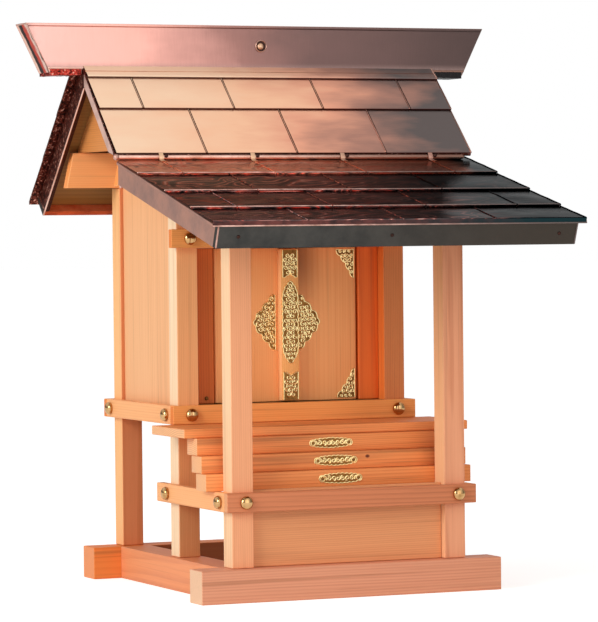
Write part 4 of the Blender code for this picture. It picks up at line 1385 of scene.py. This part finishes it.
def barge_beads():
    """A bead along the lower arris of each rear barge."""
    low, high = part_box("rear_eave_board")
    drop = SKIN * math.sqrt(2) + GAP
    depth = 2 * (rear_slope(high.y) - drop - low.z)
    places = (RIDGE_Y + 0.002, (RIDGE_Y + high.y) / 2, high.y - depth / 2 - 0.001)
    lines = []
    for x in (low.x + 0.0008, high.x - 0.0008):
        lines.append([(x, y, rear_slope(y) - drop - depth) for y in places])
    beads("rear_barge_beads", lines, 0.0009, HEM_COPPER)
    print("barge depth:", round(depth, 4))


def ridge_foot_skirts():
    """Crumpled sheet under the foot of the ridge box where it reaches past the gables."""
    shape = bmesh.new()
    for side in (-1, 1):
        start = side * (ROOF_HALF + 0.0012)
        end = side * (box_half(ridge_low.z) - 0.0010)
        rings = []
        for step in range(SKIRT_STEPS + 1):
            share = step / SKIRT_STEPS
            x = start + (end - start) * share
            wave = 0.0006 * noise.noise(Vector((x * 300, 0.0, side)))
            low = ridge_low.z - SKIRT_DEPTH * (0.75 + 0.25 * share) + wave
            high = FACE_FOOT - 0.0012
            near = ridge_low.y - 0.0006 + wave
            far = ridge_high.y + 0.0006 - wave
            rings.append([(x, near, low), (x, near, high), (x, far, high), (x, far, low)])
        add_loft(shape, rings)
    piece("ridge_foot_skirts", shape, SKIRT_COPPER)


fascia_trim()
porch_barge_folds()
eave_drip()
barge_beads()
ridge_foot_skirts()

# %% [markdown]
# ## Brass dome nails
# A domed nail marks each crossing of a rail and a post. It is turned: almost a
# whole ball that narrows a little where it meets the wood, so one profile is
# spun about the direction in which the nail was driven.

# %% Dome nails at the crossings
NAIL_RADIUS = 0.0070
NAIL_CENTRE = 0.0020
NAIL_CROWN = 0.0044
NAIL_STEPS = 11
NAIL_TUCK = -0.5
NAIL_PROFILE = []
for step in range(NAIL_STEPS + 1):
    angle = NAIL_TUCK + (math.pi / 2 - NAIL_TUCK) * step / (NAIL_STEPS + 0.4)
    height = NAIL_CENTRE + NAIL_CROWN * math.sin(angle)
    NAIL_PROFILE.append((NAIL_RADIUS * math.cos(angle), max(0.0, height)))


def nails(name, rail, posts, direction):
    """Nails on the outer face of a rail where it crosses its posts."""
    low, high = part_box(rail)
    places = []
    for post in posts:
        post_low, post_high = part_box(post)
        spot = (post_low + post_high) / 2
        spot.z = (low.z + high.z) / 2
        if direction[1]:
            spot.y = low.y if direction[1] < 0 else high.y
        else:
            spot.x = low.x if direction[0] < 0 else high.x
        places.append(spot)
    turned(name, NAIL_PROFILE, places, direction, POLISHED_BRASS, sides=32)


ROWS_ACROSS = {
    "lower_front": ("lower_rail_front", "porch_post", FRONTWARD),
    "upper_front": ("upper_rail_front", "body_post_front", FRONTWARD),
    "top_front": ("top_rail_front", "body_post_front", FRONTWARD),
    "upper_rear": ("upper_rail_rear", "body_post_rear", (0, 1, 0)),
}
for row, (rail, post, direction) in ROWS_ACROSS.items():
    nails(f"nails_{row}", rail, [f"{post}_{side}" for side in SIDES], direction)
ROWS_ALONG = {
    "lower": ("porch_post", "body_post_front"),
    "upper": ("body_post_front", "body_post_rear"),
}
for side, sign in SIDES.items():
    for level, posts in ROWS_ALONG.items():
        names = [f"{post}_{side}" for post in posts]
        nails(f"nails_{level}_{side}", f"{level}_rail_{side}", names, (sign, 0, 0))

# %% [markdown]
# ## Gilt openwork
# The door plates are pierced scrollwork: rows of tight curls and small leaves
# on a scalloped plate. A picture of it would stay flat, so the curls are
# modelled. Each plate is an outline with lobed edges, a sunk ground, a raised
# rim that follows the outline, and curls laid over it in staggered rows that
# mirror about the middle, as a pressing tool would make them.


# %% Ribbons, spirals and leaves
GROUND = 0.0005
RELIEF = 0.0008
RIM = 0.0012
VINE = 0.0018
RIDGED = [(-1.0, -0.1), (-0.75, 0.7), (0.0, 1.0), (0.75, 0.7), (1.0, -0.1)]
RIBBON_TAPER = 0.3
CURL_TURNS = 1.25
CURL_STEPS = 11
CURL_CLOSING = 0.82
LEAF_EDGE = 0.55
LEAF_CROWN = 1.1
LEAF_MIDDLE = 0.45
LEAF = [(0.0, 0.0), (0.3, 0.30), (0.62, 0.25), (1.0, 0.0), (0.62, -0.25), (0.3, -0.30)]


def add_ribbon(shape, lay, points, wide, tall, closed=False):
    """A ribbon with a rounded back along points in a plate's own plane."""
    rings = []
    last = len(points) - 1
    for index, (p, q) in enumerate(points):
        before = points[index - 1] if closed or index else points[0]
        after = points[(index + 1) % len(points)] if closed else points[min(index + 1, last)]
        run = Vector((after[0] - before[0], after[1] - before[1])).normalized()
        side = Vector((-run.y, run.x))
        half = wide / 2 if closed else wide / 2 * (1.0 - RIBBON_TAPER * index / max(last, 1))
        ring = []
        for offset, level in RIDGED:
            spot = Vector((p, q)) + side * offset * half
            ring.append(lay(spot.x, spot.y, GROUND / 2 + level * tall))
        rings.append(ring)
    add_loft(shape, rings, ring_shaped=closed)


def spiral(middle, radius, start, hand):
    """Points that curl in from a radius to the middle."""
    points = []
    for step in range(CURL_STEPS + 1):
        share = step / CURL_STEPS
        angle = start + hand * share * CURL_TURNS * 2 * math.pi
        reach = radius * (1.0 - CURL_CLOSING * share)
        points.append((middle[0] + reach * math.cos(angle), middle[1] + reach * math.sin(angle)))
    return points


def add_leaf(shape, lay, root, angle, length):
    """A small pointed leaf with a raised middle."""
    ahead = (length * math.cos(angle), length * math.sin(angle))
    points = []
    for a, b in LEAF:
        points.append((root[0] + a * ahead[0] - b * ahead[1], root[1] + a * ahead[1] + b * ahead[0]))
    low = [shape.verts.new(lay(x, y, GROUND / 2)) for x, y in points]
    top = [shape.verts.new(lay(x, y, GROUND / 2 + LEAF_EDGE * RELIEF)) for x, y in points]
    middle = (root[0] + LEAF_MIDDLE * ahead[0], root[1] + LEAF_MIDDLE * ahead[1])
    crown = shape.verts.new(lay(*middle, GROUND / 2 + LEAF_CROWN * RELIEF))
    for step in range(len(LEAF)):
        after = (step + 1) % len(LEAF)
        shape.faces.new((low[step], low[after], top[after], top[step]))
        shape.faces.new((top[step], top[after], crown))
    shape.faces.new(low[::-1])


print("relief of the gilding:", RELIEF)

# %% A scalloped outline, and the room inside it
LOBE_STEPS = 6


def scalloped(corners, lobe, depth):
    """An outline whose sides swell into small lobes. A side marked plain stays straight."""
    points = []
    for (p, q, plain), (r, s, _) in zip(corners, corners[1:] + corners[:1]):
        lobes = max(1, round(math.hypot(r - p, s - q) / lobe))
        steps = 1 if plain else lobes * LOBE_STEPS
        out = Vector((s - q, p - r)).normalized()
        for step in range(steps):
            share = step / steps
            swell = 0.0 if plain else depth * abs(math.sin(math.pi * lobes * share))
            spot = Vector((p + (r - p) * share, q + (s - q) * share)) + out * swell
            points.append((spot.x, spot.y))
    return points


def room_inside(outline, p, q):
    """Distance from a point to the outline: below zero where it lies outside."""
    inside = False
    nearest = 1.0
    for (a, b), (c, d) in zip(outline, outline[1:] + outline[:1]):
        if (b > q) != (d > q) and p < (c - a) * (q - b) / (d - b) + a:
            inside = not inside
        run = Vector((c - a, d - b))
        share = max(0.0, min(1.0, Vector((p - a, q - b)).dot(run) / max(run.length_squared, 1e-12)))
        nearest = min(nearest, (Vector((a, b)) + run * share - Vector((p, q))).length)
    return nearest if inside else -nearest


# %% A plate filled with curls
CURL_PITCH = 0.0053
ROW_PITCH = CURL_PITCH * 0.87
CURL_RADIUS = 0.0028
LEAST_ROOM = CURL_RADIUS * 0.55
TURN_PER_ROW = 1.9
TURN_PER_COLUMN = 2.7
LEAF_AIM = 0.6
LEAF_START = 0.5
LEAF_LENGTH = 0.95


def curl_places(outline, mirror):
    """Places in staggered rows: row, column, hand, and the point itself."""
    low_p = min(p for p, _ in outline)
    high_p = max(p for p, _ in outline)
    low_q = min(q for _, q in outline)
    high_q = max(q for _, q in outline)
    middle = (low_p + high_p) / 2 if mirror else low_p
    rows = int((high_q - low_q) / ROW_PITCH) + 1
    start = (low_q + high_q) / 2 - (rows - 1) / 2 * ROW_PITCH
    for row in range(rows):
        for column in range(int((high_p - middle) / CURL_PITCH) + 2):
            offset = (column + (0.5 if row % 2 else 0.0)) * CURL_PITCH
            for way in (-1, 1) if mirror and offset else (1,):
                yield row, column, way, middle + way * offset, start + row * ROW_PITCH


def add_curls(shape, lay, outline, mirror):
    """A curl with a leaf wherever the outline leaves room for it."""
    count = 0
    for row, column, way, p, q in curl_places(outline, mirror):
        room = room_inside(outline, p, q)
        if room < LEAST_ROOM:
            continue
        radius = min(CURL_RADIUS, room)
        hand = way * (1 if (row + column) % 2 else -1)
        turn = (row * TURN_PER_ROW + column * TURN_PER_COLUMN) % (2 * math.pi)
        begin = turn if way > 0 else math.pi - turn
        add_ribbon(shape, lay, spiral((p, q), radius, begin, hand), VINE, RELIEF)
        aim = begin + hand * LEAF_AIM
        reach = radius * LEAF_START
        root = (p + reach * math.cos(aim), q + reach * math.sin(aim))
        add_leaf(shape, lay, root, aim, radius * LEAF_LENGTH)
        count += 1
    return count


class Gilding:
    """A group of plates: the gilt curls in one mesh and the ground behind them in another."""

    def __init__(self):
        self.gilt = bmesh.new()
        self.ground = bmesh.new()
        self.curls = 0

    def plate(self, place, corners, lobe, depth, mirror=False):
        """One plate that looks to the front: ground, rim and curls."""

        def lay(p, q, rise):
            """Map the plate's own plane to the shrine's coordinates."""
            return Vector((place[0] + p, place[1] - rise, place[2] + q))

        outline = scalloped(corners, lobe, depth)
        # The solid dark ground is painted shade where the openwork would show holes.
        add_loft(self.ground, [[lay(p, q, rise) for p, q in outline] for rise in (0.0, GROUND)])
        add_ribbon(self.gilt, lay, outline, RIM, RELIEF * 0.8, closed=True)
        self.curls += add_curls(self.gilt, lay, outline, mirror)
        return lay

    def hang(self, name, body="shrine"):
        """Hang the group on a body."""
        piece(name, self.gilt, GILT, body)
        piece(f"{name}_ground", self.ground, DARK_BRASS, body)
        print(name, "has", self.curls, "curls")


# %% [markdown]
# ## Doors
# Two leaves close the chamber. Each turns about a line inside its rounded outer
# edge, and a batten on the left leaf covers the joint. The plain CAD leaves keep
# their place and size; these stand for them with eased edges, and a plank joint
# or two in the grain. A painted shadow darkens the right leaf beside the batten.

# %% The two leaves and the batten
LEAF_THICK = 0.009
LEAF_EASE = 0.0004
HANGING_STEPS = 12
PLANK = 0.0585
BATTEN_THICK = 0.010
LEAF_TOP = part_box("door_right")[1].z
# Painted shadow of the batten and the porch beam on the right leaf.
LEAF_SHADOW = ((0.052, 0.008), (LEAF_TOP - 0.075, LEAF_TOP - 0.008), 0.75)
LEAF_WOOD = {
    "left": cypress("cypress_door_left", "Z", "door", 31.0, planks=PLANK),
    "right": cypress("cypress_door_right", "Z", "door", 33.0, planks=PLANK, shadow=LEAF_SHADOW),
}
# The batten's left colour is painted light on its lit left side.
BATTEN_WOOD = cypress("cypress_door_batten", "Z", "batten", 37.0, left=(0.99, 0.56, 0.26))


def door_leaf(side, sign):
    """A leaf with a rounded hanging edge, in the place of the CAD one."""
    low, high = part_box(f"door_{side}")
    radius = LEAF_THICK / 2
    face = high.y - LEAF_THICK
    hanging, free = (low.x, high.x) if sign < 0 else (high.x, low.x)
    hinge = (hanging - sign * radius, high.y - radius)
    plan = []
    for step in range(HANGING_STEPS + 1):
        angle = math.pi / 2 + math.pi * step / HANGING_STEPS
        plan.append((hinge[0] - sign * radius * math.cos(angle), hinge[1] + radius * math.sin(angle)))
    plan += [(free, face), (free, high.y)]
    shape = bmesh.new()
    add_loft(shape, [[(x, y, z) for x, y in plan] for z in (low.z, high.z)])
    caps = [cap for cap in shape.faces if len(cap.verts) > 4]
    edges = list({edge for cap in caps for edge in cap.edges})
    bmesh.ops.bevel(shape, geom=edges, offset=LEAF_EASE, segments=1, affect="EDGES", profile=0.5)
    leaf = piece(f"leaf_{side}", shape, LEAF_WOOD[side], f"{side}_leaf")
    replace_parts(leaf, f"door_{side}")
    return face, low, high


def batten_board():
    """The batten that covers the joint, in the place of the CAD one."""
    low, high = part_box("door_batten")
    face = high.y - BATTEN_THICK
    shape = bmesh.new()
    add_board(shape, (low.x, face, low.z), high, 0.0007)
    board = piece("batten_bar", shape, BATTEN_WOOD, "left_leaf")
    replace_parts(board, "door_batten")
    return face, low, high


LEAVES = {side: door_leaf(side, sign) for side, sign in SIDES.items()}
batten_face, batten_low, batten_high = batten_board()
door_face, left_low, _ = LEAVES["left"]
print("door face at", round(door_face, 4), "batten face at", round(batten_face, 4))

# %% Gilt plates on the batten
PLATE_MID = 0.086
CENTRE_HALF = 0.0445
END_HEIGHT = 0.0300
END_INSET = 0.0008
STRIP_HALF = 0.0085
NOTCH = 0.0050
BATTEN_LOBE = 0.0060
TABLET_SLOPE = [(1.0, 0.0155), (0.74, 0.0080), (0.42, 0.0038)]


def batten_plates():
    """A long tablet with a point at each end, and a notched plate at each end of the batten."""
    x = (batten_low.x + batten_high.x) / 2
    gilding = Gilding()
    roof = TABLET_SLOPE + [(0.0, 0.0)] + [(-share, below) for share, below in TABLET_SLOPE[::-1]]
    top = [(STRIP_HALF * share, CENTRE_HALF - below, False) for share, below in roof]
    tablet = [(p, -q, False) for p, q, _ in top[::-1]] + top
    gilding.plate((x, batten_face, left_low.z + PLATE_MID), tablet, BATTEN_LOBE, 0.0008, True)
    notch = [(1.0, 0.0), (0.5, 0.35), (0.0, 1.0), (-0.5, 0.35), (-1.0, 0.0)]
    foot = [(-STRIP_HALF, 0.0, True), (STRIP_HALF, 0.0, True)]
    inner = [(STRIP_HALF * share, END_HEIGHT - NOTCH * cut) for share, cut in notch]
    low_end = foot + [(p, q, p == -STRIP_HALF) for p, q in inner]
    top_end = [(p, -q, p == STRIP_HALF) for p, q in inner[::-1]] + foot[::-1]
    gilding.plate((x, batten_face, batten_low.z + END_INSET), low_end, BATTEN_LOBE, 0.0007, True)
    gilding.plate((x, batten_face, batten_high.z - END_INSET), top_end, BATTEN_LOBE, 0.0007, True)
    gilding.hang("batten_gilt", "left_leaf")


batten_plates()

# %% Gilt plates on the leaves
FAN_EDGE = 0.0030
FAN_REACH = 0.0255
FAN_HALF = 0.0300
FAN_LOBES = [(0.0, -1.0), (0.30, -0.74), (0.62, -0.42), (0.90, -0.14)]
CORNER_WIDTH = 0.0210
CORNER_HEIGHT = 0.0315
CORNER_MARGIN = 0.0022
CORNER_INSET = {"left": 0.0103, "right": 0.0038}


def leaf_plates(side, sign):
    """Half a cloud beside the batten, and a plate with a hollow side in each outer corner."""
    face, low, high = LEAVES[side]
    gilding = Gilding()
    lobes = FAN_LOBES + [(reach, -rise) for reach, rise in FAN_LOBES[::-1]]
    fan = [(sign * FAN_REACH * reach, sign * FAN_HALF * rise, rise == 1.0) for reach, rise in lobes]
    edge = sign * (abs(batten_low.x) + FAN_EDGE)
    gilding.plate((edge, face, low.z + PLATE_MID), fan, 0.016, 0.0026)
    outer = (low.x if sign < 0 else high.x) - sign * CORNER_INSET[side]
    for z, up in ((low.z + CORNER_MARGIN, 1), (high.z - CORNER_MARGIN, -1)):
        inward = (-sign * CORNER_WIDTH, 0.0)
        upward = (0.0, up * CORNER_HEIGHT)
        bend = (-sign * CORNER_WIDTH * 0.45, up * CORNER_HEIGHT * 0.47, False)
        first, last = (upward, inward) if sign * up > 0 else (inward, upward)
        corner = [(0.0, 0.0, True), (*first, False), bend, (*last, True)]
        gilding.plate((outer, face, z), corner, 0.0088, 0.0016)
    gilding.hang(f"leaf_{side}_gilt", f"{side}_leaf")


for side, sign in SIDES.items():
    leaf_plates(side, sign)

# %% A peg nail beside the doors
PEG = [(0.0022, 0.0), (0.0022, 0.0006), (0.0015, 0.0014), (0.0004, 0.0017)]
peg_place = (-0.0949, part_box("door_jamb_left")[0].y, left_low.z + 0.0053)
turned("jamb_peg", PEG, [peg_place], FRONTWARD, DARK_BRASS, sides=16)
print("peg at", [round(v, 4) for v in peg_place])

# %% [markdown]
# ## Steps
# Three boards climb behind the porch posts. Each riser wears a small gilt
# plate with a nail eye at both ends, and the middle one has a knot.

# %% Step boards and riser plates
STEP_SET_BACK = 0.0008
RISER_HALF = 0.024
RISER_TALL = 0.0049
RISER_SHARES = [(1.0, -0.45), (1.0, 0.45), (0.62, 0.82), (0.0, 1.0), (-0.62, 0.82)]
EYE = 0.0034
EYE_HEAD = [(0.0017, RELIEF), (0.0016, RELIEF + 0.0004), (0.0006, RELIEF + 0.0006)]
STEP_ENDS = (0.90, 0.50, 0.25)
KNOTS = {"step_middle": (0.0370, 0.0, 0.1445)}


def step_board(name, seed):
    """A step in the place of the CAD one, with its riser plate."""
    low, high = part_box(name)
    face = low.y + STEP_SET_BACK
    middle = (low.z + high.z) / 2
    shape = bmesh.new()
    add_board(shape, (low.x, face, low.z), high)
    wood = cypress(f"cypress_{name}", "X", "step", seed, stained=0.55, ends=STEP_ENDS, knot=KNOTS.get(name))
    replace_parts(piece(f"{name}_board", shape, wood), name)
    gilding = Gilding()
    shares = RISER_SHARES + [(-across, -up) for across, up in RISER_SHARES]
    outline = [(RISER_HALF * across, RISER_TALL * up, False) for across, up in shares]
    lay = gilding.plate((0.0, face, middle), outline, 0.0052, 0.0007, True)
    for end in (-1, 1):
        x = end * (RISER_HALF - EYE)
        ring = [(x + a, b) for a, b in circle(EYE * 0.72, 16)]
        add_ribbon(gilding.gilt, lay, ring, RIM * 1.3, RELIEF * 1.2, closed=True)
        add_turned(gilding.ground, EYE_HEAD, (x, face, middle), FRONTWARD, 12)
    gilding.hang(f"{name}_gilt")


for index, name in enumerate(("step_lower", "step_middle", "step_upper")):
    step_board(name, 41.0 + index)
